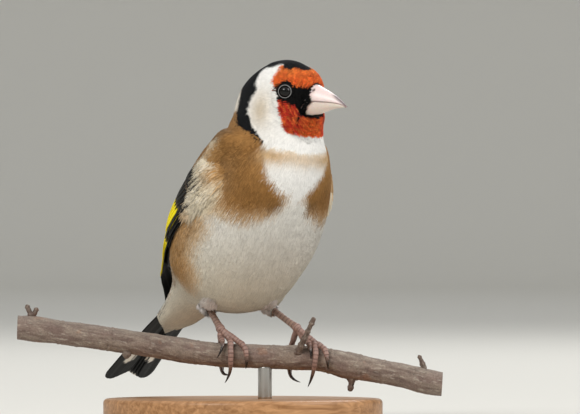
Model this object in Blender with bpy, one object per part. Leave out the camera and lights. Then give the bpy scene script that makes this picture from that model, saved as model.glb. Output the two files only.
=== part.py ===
"""A male European goldfinch at life size, perched upright on a cut twig that a display stand carries.

Sizes below are millimetres and angles are degrees; MM turns them into Blender's metres.
The bird faces -Y, its left is +X, and the stand's foot is at z = 0 under the middle of the body.
"""

import math
from collections import namedtuple

import bmesh
import bpy
from mathutils import Vector

MM = 0.001
GAP = 0.3          # between two nodes that meet
HALF_GAP = GAP / 2

# The flesh and plumage is one loft of sections, from the crown down to the tips of the tail coverts.
# yaw turns a section to the bird's left, tilt leans its back edge up, and squareness 2 is an ellipse.
Section = namedtuple("Section", "name x y z yaw tilt half_width front back squareness")
HEAD_X, HEAD_Y, HEAD_YAW = 1.2, -19.2, 24
BODY = (
    Section("crown", HEAD_X, HEAD_Y, 97.0, HEAD_YAW, 0, 4.0, 6.0, 2.6, 2.0),
    Section("forecrown", HEAD_X, HEAD_Y, 95.0, HEAD_YAW, 0, 6.9, 9.5, 5.9, 2.1),
    Section("forehead", HEAD_X, HEAD_Y, 92.8, HEAD_YAW, 0, 8.7, 11.1, 8.6, 2.2),
    Section("brow", HEAD_X, HEAD_Y, 90.2, HEAD_YAW, 0, 9.9, 11.8, 11.0, 2.15),
    Section("lores", HEAD_X, HEAD_Y, 87.5, HEAD_YAW, 0, 10.4, 11.4, 12.6, 2.1),
    Section("cheeks", HEAD_X, HEAD_Y, 85.0, HEAD_YAW, 0, 10.9, 11.2, 13.4, 2.1),
    Section("chin", HEAD_X, HEAD_Y, 82.4, HEAD_YAW, 0, 11.2, 11.4, 13.8, 2.15),
    Section("throat", HEAD_X, HEAD_Y, 79.5, HEAD_YAW, 0, 11.5, 10.7, 14.3, 2.1),
    Section("nape", 1.1, -18.6, 77.0, 20, 5, 12.3, 11.3, 15.2, 2.0),
    Section("neck", 0.8, -16.6, 74.3, 12, 14, 14.3, 14.3, 15.5, 2.0),
    Section("shoulders", 0.4, -13.6, 69.0, 5, 22, 17.2, 17.6, 16.7, 2.0),
    Section("upper_breast", 0.0, -10.2, 63.5, 0, 28, 19.0, 19.2, 17.2, 2.0),
    Section("breast", 0.0, -6.2, 57.5, 0, 31, 19.8, 19.5, 18.4, 2.0),
    Section("upper_belly", 0.0, -2.0, 51.5, 0, 33, 20.0, 18.6, 19.2, 2.0),
    Section("belly", 0.0, 2.5, 46.5, 0, 36, 19.0, 18.0, 17.5, 2.0),
    Section("lower_belly", 0.0, 7.5, 42.0, 0, 41, 17.2, 17.3, 15.0, 2.0),
    Section("vent", 0.2, 13.5, 39.0, 1, 46, 14.0, 13.8, 11.0, 2.0),
    Section("rump", 0.1, 20.5, 36.5, 3, 52, 10.5, 8.5, 6.0, 2.0),
    Section("tail_coverts", -0.4, 28.0, 32.4, 5, 54, 8.0, 5.5, 3.0, 2.0),
    Section("covert_ends", -1.0, 35.0, 28.3, 5, 54, 6.6, 3.6, 1.3, 2.4),
    # The last two carry the folded wings on over the tail, and no body is made there.
    Section("over_tail", -1.8, 43.0, 22.9, 5, 54, 7.0, 1.0, 1.3, 3.0),
    Section("past_wing_tips", -2.4, 51.0, 17.1, 5, 54, 7.4, 1.0, 1.3, 3.0),
)
ROW = {section.name: number for number, section in enumerate(BODY)}
CROWN_POLE = (1.7, 97.9)              # ahead of the head's own axis, and its height
COVERT_POLE = Vector((-1.6, 40.6, 23.2))
RING_SIDES = 32

# Where the loft is parted into nodes, as places between its sections
NECK_TOP, NECK_FOOT, TAIL_ROOT = 7.4, 9.3, 17.15

# Eyes, in the head's own frame: ahead of its axis, out to the side, and up
EYE_AHEAD, EYE_OUT, EYE_Z = 6.1, 6.8, 89.2
EYE_RADIUS = 2.15
LID_RADIUS, LID_THICKNESS, LID_OUT = 1.98, 0.45, 1.75
EYE_TURN = 29                         # how far an eye looks forward of straight out

# Bill, in the head's own frame
BILL_TIP_AHEAD, BILL_TIP_Z = 21.8, 84.6
BILL_ROOT_AHEAD = 8.0
BILL_HALF_WIDTH = 3.9
CULMEN_Z, GONYS_Z, GAPE_Z = 91.6, 82.4, 87.0
NOSTRIL_AHEAD, NOSTRIL_OUT, NOSTRIL_Z, NOSTRIL_RADIUS = 12.6, 2.75, 89.4, 0.45

# Tail: twelve feathers in a shallow fork, fanned from a root inside the coverts
TAIL_NOTCH = Vector((-3.8, 57.2, 12.5))
TAIL_ALONG = Vector((-0.073, 0.806, -0.588)).normalized()
TAIL_LENGTH = 47.5                    # from the insertion to the notch
TAIL_VANES_A_SIDE = 6
TAIL_VANE_HALF_WIDTH = 2.4
TAIL_FORK = 2.5
TAIL_STACK = 0.55                     # the middle pair lies this far over the fan's middle

# Wings, as shares: along from the bend to the tip, and across from the lower edge to the upper one
WING_BEND, WING_TIP = 10.1, 20.0      # places between the body's sections
WING_EDGES = (                        # share along, then degrees from the back of the lower and upper edges
    (0.00, 92, 60),
    (0.06, 101, 50),
    (0.12, 99, 45),
    (0.20, 87, 39),
    (0.35, 71, 30),
    (0.50, 60, 21),
    (0.65, 50, 13),
    (0.80, 38, 8),
    (1.00, 23, 6),
)
WING_BED = (                          # share along, then how far the lowest feathers lie off the body
    (0.00, 0.45),
    (0.20, 0.45),
    (0.35, 0.8),
    (0.50, 1.7),
    (0.65, 2.8),
    (0.80, 1.6),
    (1.00, 0.7),
)
VANE_THICKNESS = 0.55

# Twig, in the plane that the camera faces: across it and up, with its own thickness
TWIG_TURN = -30                       # of the twig about the vertical, from +X
TWIG_DEPTH = -4.5                     # behind the bird's middle, so minus is in front
TWIG_LINE = (
    (-61.2, 25.4), (-41.6, 23.0), (-25.3, 20.6), (-9.0, 18.2), (1.9, 17.6),
    (10.6, 17.3), (20.1, 16.9), (27.2, 15.3), (42.7, 12.5), (54.1, 10.0),
)
TWIG_RADIUS = 3.35
TWIG_KNOTS = ((29.0, 0.4, 4.5), (-56.0, 0.25, 4.0), (49.0, 0.2, 3.5))     # place, swelling, spread

# Legs: the heel of each in the part's own frame, and the toe joint across the view and up, over the twig
HEELS = {"right": Vector((-6.2, 9.6, 32.0)), "left": Vector((7.9, 0.5, 31.2))}
TOE_JOINTS = {"right": (-6.0, 24.9), "left": (14.8, 25.2)}
TARSUS_RADIUS, JOINT_RADIUS, TOE_RADIUS = 0.92, 1.25, 0.8
# Each toe's way over the twig, as shifts along it from the joint and degrees round it from its top, then its claw:
# where the claw's point is from the toe's end, across the view, up, and away from the viewer
TOES = {
    "right": (
        ("outer", ((-0.5, 5), (0.0, 22), (0.3, 40)), (-1.6, -4.3, -1.3)),
        ("middle", ((2.2, 22), (2.7, 78), (2.8, 128)), (-1.6, -4.6, 1.2)),
        ("inner", ((4.8, 34), (6.5, 63), (7.0, 90)), (-0.2, -3.4, 0.9)),
        ("hind", ((-0.3, -30), (0.0, -90), (0.5, -148)), (2.0, -1.4, -3.8)),
    ),
    "left": (
        ("inner", ((1.8, 4), (2.8, 24), (3.2, 46)), (0.3, -3.5, -1.0)),
        ("middle", ((3.6, 12), (4.8, 66), (4.7, 130)), (-1.6, -4.8, 1.2)),
        ("outer", ((4.6, 24), (6.8, 50), (7.8, 78)), (0.3, -3.4, 0.6)),
        ("hind", ((-1.4, -30), (-2.0, -90), (-2.0, -148)), (2.9, -2.8, -3.9)),
    ),
}

# Stand
BASE_RADIUS, BASE_THICKNESS, BASE_CHAMFER = 38.0, 6.0, 1.0
ROD_RADIUS, ROD_ACROSS = 1.9, 6.0


# Shapes from points

def solid(name, points, faces, smooth=True):
    """A mesh object from millimetre points and faces, with its faces turned to point out."""
    mesh = bpy.data.meshes.new(name)
    mesh.from_pydata([Vector(p) * MM for p in points], [], faces)
    shaper = bmesh.new()
    shaper.from_mesh(mesh)
    bmesh.ops.recalc_face_normals(shaper, faces=shaper.faces)
    if shaper.calc_volume(signed=True) < 0:
        bmesh.ops.reverse_faces(shaper, faces=shaper.faces)
    shaper.to_mesh(mesh)
    shaper.free()
    if smooth:
        mesh.shade_smooth()
    obj = bpy.data.objects.new(name, mesh)
    bpy.context.scene.collection.objects.link(obj)
    return obj


def stacked_rings(rings, first_pole=None, last_pole=None):
    """Points and triangles of a tube through rings of equal count, ended by a pole point or a flat cap."""
    count = len(rings[0])
    points = [point for ring in rings for point in ring]
    faces = []
    for level in range(len(rings) - 1):
        low, high = level * count, (level + 1) * count
        for side in range(count):
            after = (side + 1) % count
            faces.append((low + side, low + after, high + after))
            faces.append((low + side, high + after, high + side))
    for start, pole in ((0, first_pole), ((len(rings) - 1) * count, last_pole)):
        if pole is None:
            pole = sum((Vector(p) for p in points[start:start + count]), Vector()) / count
        points.append(pole)
        faces.extend((start + side, start + (side + 1) % count, len(points) - 1) for side in range(count))
    return points, faces


def tube(name, path, radii, sides=8):
    """A round tube along a path, with a radius at each of its points and flat ends."""
    path = [Vector(p) for p in path]
    rings, across = [], None
    for number, point in enumerate(path):
        ahead = path[min(number + 1, len(path) - 1)] - path[max(number - 1, 0)]
        ahead.normalize()
        if across is None:
            across = ahead.orthogonal().normalized()
        across = (across - ahead * across.dot(ahead)).normalized()
        third = ahead.cross(across)
        turns = [2 * math.pi * side / sides for side in range(sides)]
        rings.append([point + (across * math.cos(a) + third * math.sin(a)) * radii[number] for a in turns])
    return solid(name, *stacked_rings(rings))


def ball(name, centre, radius, segments=16, rings=10):
    mesh = bpy.data.meshes.new(name)
    shaper = bmesh.new()
    bmesh.ops.create_uvsphere(shaper, u_segments=segments, v_segments=rings, radius=radius * MM)
    bmesh.ops.translate(shaper, verts=shaper.verts, vec=Vector(centre) * MM)
    shaper.to_mesh(mesh)
    shaper.free()
    mesh.shade_smooth()
    obj = bpy.data.objects.new(name, mesh)
    bpy.context.scene.collection.objects.link(obj)
    return obj


def ring_torus(name, centre, axis, radius, thickness, segments=18, sides=6):
    """A closed ring round an axis, as thick as twice its thickness."""
    axis = axis.normalized()
    across = axis.orthogonal().normalized()
    third = axis.cross(across)
    points, faces = [], []
    for step in range(segments):
        turn = 2 * math.pi * step / segments
        out = across * math.cos(turn) + third * math.sin(turn)
        for side in range(sides):
            lean = 2 * math.pi * side / sides
            points.append(centre + out * (radius + thickness * math.cos(lean)) + axis * thickness * math.sin(lean))
    for step in range(segments):
        low, high = step * sides, (step + 1) % segments * sides
        for side in range(sides):
            after = (side + 1) % sides
            faces.append((low + side, low + after, high + after, high + side))
    return solid(name, points, faces)


# Joining and cutting

def evaluated_mesh(obj):
    bpy.context.view_layer.update()
    return bpy.data.meshes.new_from_object(obj.evaluated_get(bpy.context.evaluated_depsgraph_get()))


def apply_modifiers(obj):
    mesh = evaluated_mesh(obj)
    obj.modifiers.clear()
    obj.data = mesh


def drop(*objects):
    for obj in objects:
        bpy.data.objects.remove(obj)


def keep_largest_surface(obj):
    """Leaves only the closed surface that spans the most, so a sealed hollow or a loose scrap goes."""
    shaper = bmesh.new()
    shaper.from_mesh(obj.data)
    unseen, islands = set(shaper.verts), []
    while unseen:
        island, edge = set(), [unseen.pop()]
        while edge:
            vertex = edge.pop()
            island.add(vertex)
            near = {link.other_vert(vertex) for link in vertex.link_edges} & unseen
            unseen -= near
            edge.extend(near)
        islands.append(island)
    islands.sort(key=len)
    for island in islands[:-1]:
        bmesh.ops.delete(shaper, geom=list(island), context="VERTS")
    bmesh.ops.triangulate(shaper, faces=shaper.faces)
    shaper.to_mesh(obj.data)
    shaper.free()


def join_solids(name, pieces, solver="EXACT"):
    """One closed body from pieces that overlap."""
    whole = pieces[0]
    whole.name = name
    others = bpy.data.collections.new(name + "_pieces")
    for piece in pieces[1:]:
        bpy.context.scene.collection.objects.unlink(piece)
        others.objects.link(piece)
    bpy.context.scene.collection.children.link(others)
    union = whole.modifiers.new("join", "BOOLEAN")
    union.operation = "UNION"
    union.operand_type = "COLLECTION"
    union.collection = others
    union.solver = solver
    apply_modifiers(whole)
    drop(*pieces[1:])
    bpy.data.collections.remove(others)
    keep_largest_surface(whole)
    return whole


def cut_away(obj, *cutters, solver="EXACT"):
    for cutter in cutters:
        difference = obj.modifiers.new("cut", "BOOLEAN")
        difference.operation = "DIFFERENCE"
        difference.object = cutter
        difference.solver = solver
        apply_modifiers(obj)
    keep_largest_surface(obj)
    return obj


# The body's surface

def between(values, place):
    """A smooth curve through equally spaced values, read at a place between them."""
    last = len(values) - 1
    place = min(max(place, 0.0), float(last))
    number = min(int(place), last - 1)
    share = place - number
    before, start = values[max(number - 1, 0)], values[number]
    end, after = values[number + 1], values[min(number + 2, last)]
    return start + 0.5 * share * (
        end - before + share * (2 * before - 5 * start + 4 * end - after + share * (3 * (start - end) + after - before))
    )


def read_table(rows, key):
    """Straight-line reading of a table whose first column is the key."""
    for low, high in zip(rows, rows[1:]):
        if key <= high[0]:
            share = (key - low[0]) / (high[0] - low[0])
            return [a + (b - a) * share for a, b in zip(low[1:], high[1:])]
    return list(rows[-1][1:])


def section_at(place):
    return Section("between", *(between([row[column] for row in BODY], place) for column in range(1, 10)))


def turned(yaw):
    """Left and forward for something turned this far to the bird's left."""
    angle = math.radians(yaw)
    return Vector((math.cos(angle), math.sin(angle), 0)), Vector((math.sin(angle), -math.cos(angle), 0))


def section_frame(section):
    """Centre, left, back and headward directions of a section's plane."""
    left, forward = turned(section.yaw)
    tilt = math.radians(section.tilt)
    up = Vector((0, 0, 1))
    back = up * math.sin(tilt) - forward * math.cos(tilt)
    headward = up * math.cos(tilt) + forward * math.sin(tilt)
    return Vector((section.x, section.y, section.z)), left, back, headward


def body_point(place, degrees, grow=0.0):
    """A point of the body's surface. Degrees run from the back, and plus is to the bird's left."""
    section = section_at(place)
    centre, left, back, _ = section_frame(section)
    angle, power = math.radians(degrees), 2 / section.squareness
    across, along = math.sin(angle), math.cos(angle)
    depth = section.back if along > 0 else section.front
    return (
        centre
        + left * math.copysign(abs(across) ** power, across) * (section.half_width + grow)
        + back * math.copysign(abs(along) ** power, along) * (depth + grow)
    )


def body_normal(place, degrees):
    step, turn = 0.05, 2.0
    along = body_point(place + step, degrees) - body_point(place - step, degrees)
    round_it = body_point(place, degrees + turn) - body_point(place, degrees - turn)
    return round_it.cross(along).normalized()


def body_ring(place, grow=0.0, shift=0.0):
    """One ring of the loft, moved along its own plane's normal by shift, plus towards the head."""
    headward = section_frame(section_at(place))[3]
    step = 360 / RING_SIDES
    return [body_point(place, side * step, grow) + headward * shift for side in range(RING_SIDES)]


def crown_pole(grow=0.0):
    _, forward = turned(HEAD_YAW)
    ahead, height = CROWN_POLE
    return Vector((HEAD_X, HEAD_Y, height + grow)) + forward * ahead


def loft(name, start, end, grow=0.0, parted_start=True, parted_end=True, per_section=2.0):
    """The body between two places. A parted end stops half a gap short of its place; the others run to their poles."""
    steps = max(2, round((end - start) * per_section))
    places = [start + (end - start) * step / steps for step in range(steps + 1)]
    rings = []
    for place in places:
        shift = 0.0
        if parted_start and place == places[0]:
            shift = -HALF_GAP
        if parted_end and place == places[-1]:
            shift = HALF_GAP
        rings.append(body_ring(place, grow, shift))
    first = None if parted_start else crown_pole(grow)
    last = None if parted_end else COVERT_POLE + TAIL_ALONG * grow
    return solid(name, *stacked_rings(rings, first, last))


def whole_body(name, grow, per_section=2.0):
    """The whole loft grown by a margin, to cut its neighbours clear of it."""
    return loft(name, 0, ROW["covert_ends"], grow, parted_start=False, parted_end=False, per_section=per_section)


# Head, eyes and bill

def head_point(ahead, out, height):
    """A point in the head's own frame; out is to the bird's left."""
    left, forward = turned(HEAD_YAW)
    return Vector((HEAD_X, HEAD_Y, height)) + forward * ahead + left * out


def eye_place(side):
    """Centre of an eyeball and the way it looks. side is 1 for left and -1 for right."""
    left, forward = turned(HEAD_YAW)
    turn = math.radians(EYE_TURN)
    looks = left * side * math.cos(turn) + forward * math.sin(turn)
    return head_point(EYE_AHEAD, EYE_OUT * side, EYE_Z), looks


def make_eyes():
    for name, side in (("eye_left", 1), ("eye_right", -1)):
        centre, _ = eye_place(side)
        ball(name, centre, EYE_RADIUS, 16, 10)


def make_head():
    """Skull and face, with a socket round each eyeball and a raised rim of lid round the socket."""
    head = loft("head", 0, NECK_TOP, parted_start=False, per_section=2.2)
    pieces = [head]
    for side in (1, -1):
        centre, looks = eye_place(side)
        pieces.append(ring_torus("lid", centre + looks * LID_OUT, looks, LID_RADIUS, LID_THICKNESS))
    head = join_solids("head", pieces)
    sockets = [ball("socket", eye_place(side)[0], EYE_RADIUS + GAP, 16, 10) for side in (1, -1)]
    cut_away(head, *sockets)
    drop(*sockets)
    return head


def bill_half(name, upper):
    """One mandible: D-shaped sections from inside the face to the tip, flat along the line of the mouth."""
    sign = 1 if upper else -1
    edge_height = CULMEN_Z if upper else GONYS_Z
    steps, rounds = 9, 10
    rings = []
    for step in range(steps):
        share = step / steps
        ahead = BILL_ROOT_AHEAD + (BILL_TIP_AHEAD - BILL_ROOT_AHEAD) * share
        taper = 1 - share ** (1.35 if upper else 1.5)
        mouth = GAPE_Z + (BILL_TIP_Z - GAPE_Z) * share + 0.35 * math.sin(math.pi * share)
        reach = abs(edge_height - GAPE_Z) * taper + 0.12
        width = BILL_HALF_WIDTH * (1 - share ** 1.15) + 0.25
        if not upper:
            width -= 0.12
        ring = []
        for corner in range(rounds):
            angle = math.pi * corner / (rounds - 1)
            height = mouth + sign * (HALF_GAP + reach * math.sin(angle) ** 0.85)
            ring.append(head_point(ahead, width * math.cos(angle), height))
        rings.append(ring)
    tip_drop = 0.25 if upper else -0.05
    tip = head_point(BILL_TIP_AHEAD - (0 if upper else 0.9), 0, BILL_TIP_Z + sign * 0.3 - tip_drop)
    return solid(name, *stacked_rings(rings, None, tip))


def make_bill(grown_body):
    upper = bill_half("bill_upper", True)
    lower = bill_half("bill_lower", False)
    for mandible in (upper, lower):
        cut_away(mandible, grown_body)
    pits = [
        ball("pit", head_point(NOSTRIL_AHEAD, NOSTRIL_OUT * side, NOSTRIL_Z), NOSTRIL_RADIUS, 8, 6) for side in (1, -1)
    ]
    cut_away(upper, *pits)
    drop(*pits)


# Feathers as vanes

# Half widths along a long feather and along a covert, as shares
VANE_SHAPE = ((0.0, 0.62), (0.3, 0.95), (0.62, 1.0), (0.86, 0.82), (0.96, 0.5), (1.0, 0.16))
COVERT_SHAPE = ((0.0, 0.7), (0.5, 1.0), (0.86, 0.78), (1.0, 0.2))


def vane(name, place_at, half_width, lean, thickness=VANE_THICKNESS, rings=VANE_SHAPE):
    """A flat feather along a line. place_at(share) gives a point and the normal there, and lean lifts one edge."""
    corners = []
    for share, width in rings:
        point, normal = place_at(share)
        before, after = place_at(max(share - 0.04, 0))[0], place_at(min(share + 0.04, 1))[0]
        out = normal.cross(after - before).normalized()
        thick = thickness * (1 - 0.45 * max(0, share - 0.8) / 0.2) / 2
        half = half_width * width
        corners.append([
            point + out * half + normal * (lean * width + thick),
            point - out * half + normal * (-lean * width + thick),
            point - out * half + normal * (-lean * width - thick),
            point + out * half + normal * (lean * width - thick),
        ])
    points = [corner for ring in corners for corner in ring]
    faces = []
    for level in range(len(corners) - 1):
        low, high = level * 4, level * 4 + 4
        # The upper and lower faces are split by the same diagonal, so that a bent vane never crosses itself.
        faces += [(low, low + 1, high + 1), (low, high + 1, high)]
        faces += [(low + 3, high + 2, low + 2), (low + 3, high + 3, high + 2)]
        faces += [(low + 1, low + 2, high + 2), (low + 1, high + 2, high + 1)]
        faces += [(low + 3, low, high), (low + 3, high, high + 3)]
    end = len(points) - 4
    faces += [(0, 2, 1), (0, 3, 2), (end, end + 1, end + 2), (end, end + 2, end + 3)]
    return solid(name, points, faces, smooth=False)


# Tail

def make_tail():
    """Coverts at the root and twelve feathers, the middle pair on top and each next one under it."""
    pieces = [loft("tail", TAIL_ROOT, ROW["covert_ends"], parted_end=False, per_section=1.5)]
    insertion = TAIL_NOTCH - TAIL_ALONG * TAIL_LENGTH
    left = Vector((math.cos(math.radians(5)), math.sin(math.radians(5)), 0))
    left = (left - TAIL_ALONG * left.dot(TAIL_ALONG)).normalized()
    up = left.cross(TAIL_ALONG).normalized()
    if up.z < 0:
        up.negate()
    for side in (1, -1):
        for number in range(TAIL_VANES_A_SIDE):
            fan = math.radians(0.4 + 0.75 * number)
            length = TAIL_LENGTH + TAIL_FORK * (number / (TAIL_VANES_A_SIDE - 1)) ** 0.7
            along = TAIL_ALONG * math.cos(fan) + left * side * math.sin(fan)
            height = TAIL_STACK * (1 - 2 * number / (TAIL_VANES_A_SIDE - 1)) + 0.05 * side
            root = insertion + left * side * (0.25 + 0.36 * number) + up * height
            start = 13.2

            def place_at(share, root=root, along=along, length=length):
                return root + along * (start + (length - start) * share), up

            pieces.append(vane("tail_vane", place_at, TAIL_VANE_HALF_WIDTH, 0.12 * side))
    return join_solids("tail", pieces)


# Wings

def wing_place(side, share, across, lift):
    """A point at a height over the folded wing's bed and the normal there."""
    lower, upper = read_table(WING_EDGES, share)
    place = WING_BEND + (WING_TIP - WING_BEND) * share
    degrees = side * (lower + (upper - lower) * across)
    return body_point(place, degrees) + body_normal(place, degrees) * lift, body_normal(place, degrees)


def wing_vane(side, start, end, lifts, half_width, rings=VANE_SHAPE, lean=0.24):
    """A wing feather from one place of the wing to another; lifts are its height over the bed at root and tip."""
    def place_at(share):
        along = start[0] + (end[0] - start[0]) * share
        across = start[1] + (end[1] - start[1]) * share
        lift = read_table(WING_BED, along)[0] + lifts[0] + (lifts[1] - lifts[0]) * share
        return wing_place(side, along, across, lift)
    return vane("wing_vane", place_at, half_width, -lean * side, rings=rings)


def wing_core(side):
    """The thin bed that the feathers are fused to, under the small coverts of the shoulder."""
    alongs = (0.0, 0.05, 0.12, 0.22, 0.34, 0.46, 0.58)
    acrosses = (0.03, 0.16, 0.38, 0.6, 0.84, 0.97)
    outer, inner = [], []
    for share in alongs:
        bed = read_table(WING_BED, share)[0] + (0.25 if 0 < share < 0.3 else 0.05)
        heights = [GAP + 0.15 if across in (acrosses[0], acrosses[-1]) or share == 0 else bed for across in acrosses]
        outer.append([wing_place(side, share, a, height)[0] for a, height in zip(acrosses, heights)])
        inner.append([wing_place(side, share, a, -0.35)[0] for a in acrosses])
    rows, columns = len(alongs), len(acrosses)
    points = [p for row in outer for p in row] + [p for row in inner for p in row]
    under = rows * columns
    faces = []
    for row in range(rows - 1):
        for column in range(columns - 1):
            a, b = row * columns + column, row * columns + column + 1
            c, d = b + columns, a + columns
            faces += [(a, b, c), (a, c, d), (under + a, under + c, under + b), (under + a, under + d, under + c)]
    rim = list(range(columns))
    rim += [row * columns + columns - 1 for row in range(1, rows)]
    rim += [(rows - 1) * columns + column for column in range(columns - 2, -1, -1)]
    rim += [row * columns for row in range(rows - 2, 0, -1)]
    for first, second in zip(rim, rim[1:] + rim[:1]):
        faces.append((first, second, under + second))
        faces.append((first, under + second, under + first))
    return solid("wing_core", points, faces)


def wing_row(side, count, start, end, spread, lifts, half_width, rings=VANE_SHAPE):
    """A row of feathers side by side: start and end are shares along, spread the shares across at roots and tips."""
    row = []
    for number in range(count):
        inward = number / (count - 1)
        tip = end[number] if isinstance(end, tuple) else end
        root = (start, spread[0] + (spread[1] - spread[0]) * inward)
        point = (tip, spread[2] + (spread[3] - spread[2]) * inward)
        rise = 0.07 * number
        row.append(wing_vane(side, root, point, (lifts[0] + rise, lifts[1] + rise), half_width, rings))
    return row


def make_wing(name, side, under_wings, over_tail):
    """A folded wing. In each row the next feather inwards lies over the one outside it."""
    pieces = [wing_core(side)]
    primary_tips = (0.975, 1.0, 0.985, 0.95, 0.905, 0.86, 0.82)
    pieces += wing_row(side, 7, 0.28, primary_tips, (0.13, 0.44, 0.3, 0.74), (-0.1, -0.15), 2.0)
    pieces += wing_row(side, 5, 0.26, (0.78, 0.77, 0.76, 0.74, 0.72), (0.42, 0.7, 0.56, 0.8), (0.1, 0.3), 2.4)
    pieces += wing_row(side, 3, 0.26, (0.73, 0.63, 0.52), (0.68, 0.88, 0.8, 0.9), (0.2, 0.6), 2.9)
    pieces += wing_row(side, 6, 0.13, 0.39, (0.14, 0.88, 0.14, 0.87), (0.0, 0.4), 2.5, COVERT_SHAPE)
    pieces += wing_row(side, 2, 0.1, (0.3, 0.25), (0.05, 0.1, 0.06, 0.12), (0.1, 0.2), 1.5, COVERT_SHAPE)
    pieces += wing_row(side, 5, 0.04, 0.23, (0.2, 0.86, 0.18, 0.86), (0.1, 0.55), 2.7, COVERT_SHAPE)
    wing = join_solids(name, pieces)
    return cut_away(wing, under_wings, over_tail)


def over_tail_block():
    """A block that holds the tail's feathers and their clearance, to trim the wing tips' undersides."""
    half_width, low, high, start, end = 11.0, 4.0, 1.15, 18.0, 56.0
    insertion = TAIL_NOTCH - TAIL_ALONG * TAIL_LENGTH
    left = (Vector((1, 0.087, 0)) - TAIL_ALONG * Vector((1, 0.087, 0)).dot(TAIL_ALONG)).normalized()
    up = left.cross(TAIL_ALONG)
    up = up if up.z > 0 else -up
    rings = []
    for reach in (start, end):
        centre = insertion + TAIL_ALONG * reach
        rings.append([centre + left * x * half_width + up * z for x, z in ((1, high), (-1, high), (-1, -low), (1, -low))])
    return solid("over_tail", *stacked_rings(rings), smooth=False)


# Twig

def view_point(across, height, depth=0.0):
    """A point from where it is across the camera's view, its height, and its distance behind the twig's plane."""
    turn = math.radians(TWIG_TURN)
    right = Vector((math.cos(turn), math.sin(turn), 0))
    away = Vector((-math.sin(turn), math.cos(turn), 0))
    return right * across + away * (TWIG_DEPTH + depth) + Vector((0, 0, height))


def twig_centre(across):
    """The twig's centreline, read where it is this far across the view."""
    reaches = [reach for reach, _ in TWIG_LINE]
    heights = [height for _, height in TWIG_LINE]
    number = max(i for i in range(len(reaches) - 1) if reaches[i] <= across or i == 0)
    share = (across - reaches[number]) / (reaches[number + 1] - reaches[number])
    return view_point(across, between(heights, number + share))


def twig_frame(across):
    """Centre, direction, up and front of the twig there."""
    step = 0.8
    along = (twig_centre(across + step) - twig_centre(across - step)).normalized()
    turn = math.radians(TWIG_TURN)
    front = Vector((math.sin(turn), -math.cos(turn), 0))
    front = (front - along * front.dot(along)).normalized()
    up = along.cross(front)
    return twig_centre(across), along, up if up.z > 0 else -up, front


def round_twig(across, degrees, reach):
    """A point round the twig, degrees from its top towards the viewer."""
    centre, _, up, front = twig_frame(across)
    angle = math.radians(degrees)
    return centre + (up * math.cos(angle) + front * math.sin(angle)) * reach


def make_perch(grow=0.0):
    """The twig with its swellings, and the stubs of three side shoots."""
    sides, spacing = 14, 3.4
    first, last = TWIG_LINE[0][0], TWIG_LINE[-1][0]
    count = round((last - first) / spacing)
    rings = []
    for step in range(count + 1):
        across = first + (last - first) * step / count
        radius = TWIG_RADIUS + grow + sum(h * math.exp(-(((across - at) / w) ** 2)) for at, h, w in TWIG_KNOTS)
        ring = []
        for side in range(sides):
            wave = 0.0 if grow else 0.1 * (math.sin(3 * side + 0.55 * across) - 1)
            ring.append(round_twig(across, 360 * side / sides, radius + wave))
        rings.append(ring)
    twig = solid("perch", *stacked_rings(rings))
    if grow:
        return twig
    shoots = (
        # root, bend and end, each as across the view, height and depth, then the radii
        ((14.4, 17.6, -1.6), (16.7, 22.4, -5.2), (19.4, 28.2, -6.6), (1.2, 0.82, 0.74)),
        ((29.2, 13.8, 0.0), (29.5, 10.6, 0.0), (29.0, 8.0, 0.2), (2.3, 1.05, 0.8)),
        ((-56.2, 24.6, 0.2), (-57.4, 28.4, 0.0), (-58.8, 31.6, -0.2), (1.5, 0.95, 0.6)),
        ((-57.2, 28.2, 0.0), (-56.4, 29.6, -0.2), (-55.8, 30.8, -0.3), (0.8, 0.8, 0.6)),
        ((49.0, 10.8, 0.3), (49.0, 14.8, 0.2), (47.7, 17.9, 0.1), (1.7, 0.9, 0.55)),
        ((-31.4, 20.4, -0.6), (-31.5, 18.4, -1.2), (-31.6, 16.9, -1.6), (1.6, 1.3, 0.8)),
    )
    pieces = [twig]
    for root, bend, end, radii in shoots:
        path = [view_point(*place) for place in (root, bend, end)]
        pieces.append(tube("shoot", path, radii, 7))
    return join_solids("perch", pieces)


# Legs, feet and claws

def toe_joint(side):
    across, height = TOE_JOINTS[side]
    return view_point(across, height)


def make_leg(side, grown_body):
    """The feathered end of the shin and the bare tarsus below it, cut clear of the belly."""
    heel, joint = HEELS[side], toe_joint(side)
    shin = (joint - heel).normalized()
    hip = heel + Vector((0, -3.5, 8.0))
    tuft = tube("tuft", (hip, heel - shin * 0.8, heel + shin * 2.2, heel + shin * 4.6), (3.8, 2.2, 1.7, 1.1), 10)
    end = joint - shin * (JOINT_RADIUS + GAP)
    steps = [heel + (end - heel) * share for share in (0, 0.3, 0.6, 0.88, 1)]
    tarsus = tube("tarsus", steps, [TARSUS_RADIUS * k for k in (1.15, 1.0, 0.95, 1.0, 1.12)], 9)
    leg = join_solids("leg_" + side, [tuft, tarsus])
    return cut_away(leg, grown_body, solver="MANIFOLD")


def toe_path(side, ways):
    """Points of a toe, from the joint over the twig's top and round it."""
    joint = toe_joint(side)
    across = TOE_JOINTS[side][0]
    stand_off = TWIG_RADIUS + GAP + TOE_RADIUS + 0.15
    marks = [joint] + [round_twig(across + shift, degrees, stand_off) for shift, degrees in ways]
    steps = 8
    path = [between(marks, (len(marks) - 1) * step / steps) for step in range(steps + 1)]
    clear = [joint]
    for point in path[1:]:
        # A toe stays outside the twig and its own thickness, wherever the smooth curve would cut the corner.
        u = point.dot(view_point(1, 0) - view_point(0, 0))
        centre = twig_frame(u)[0]
        out = point - centre
        clear.append(centre + out * max(1.0, stand_off / out.length))
    return clear


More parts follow.
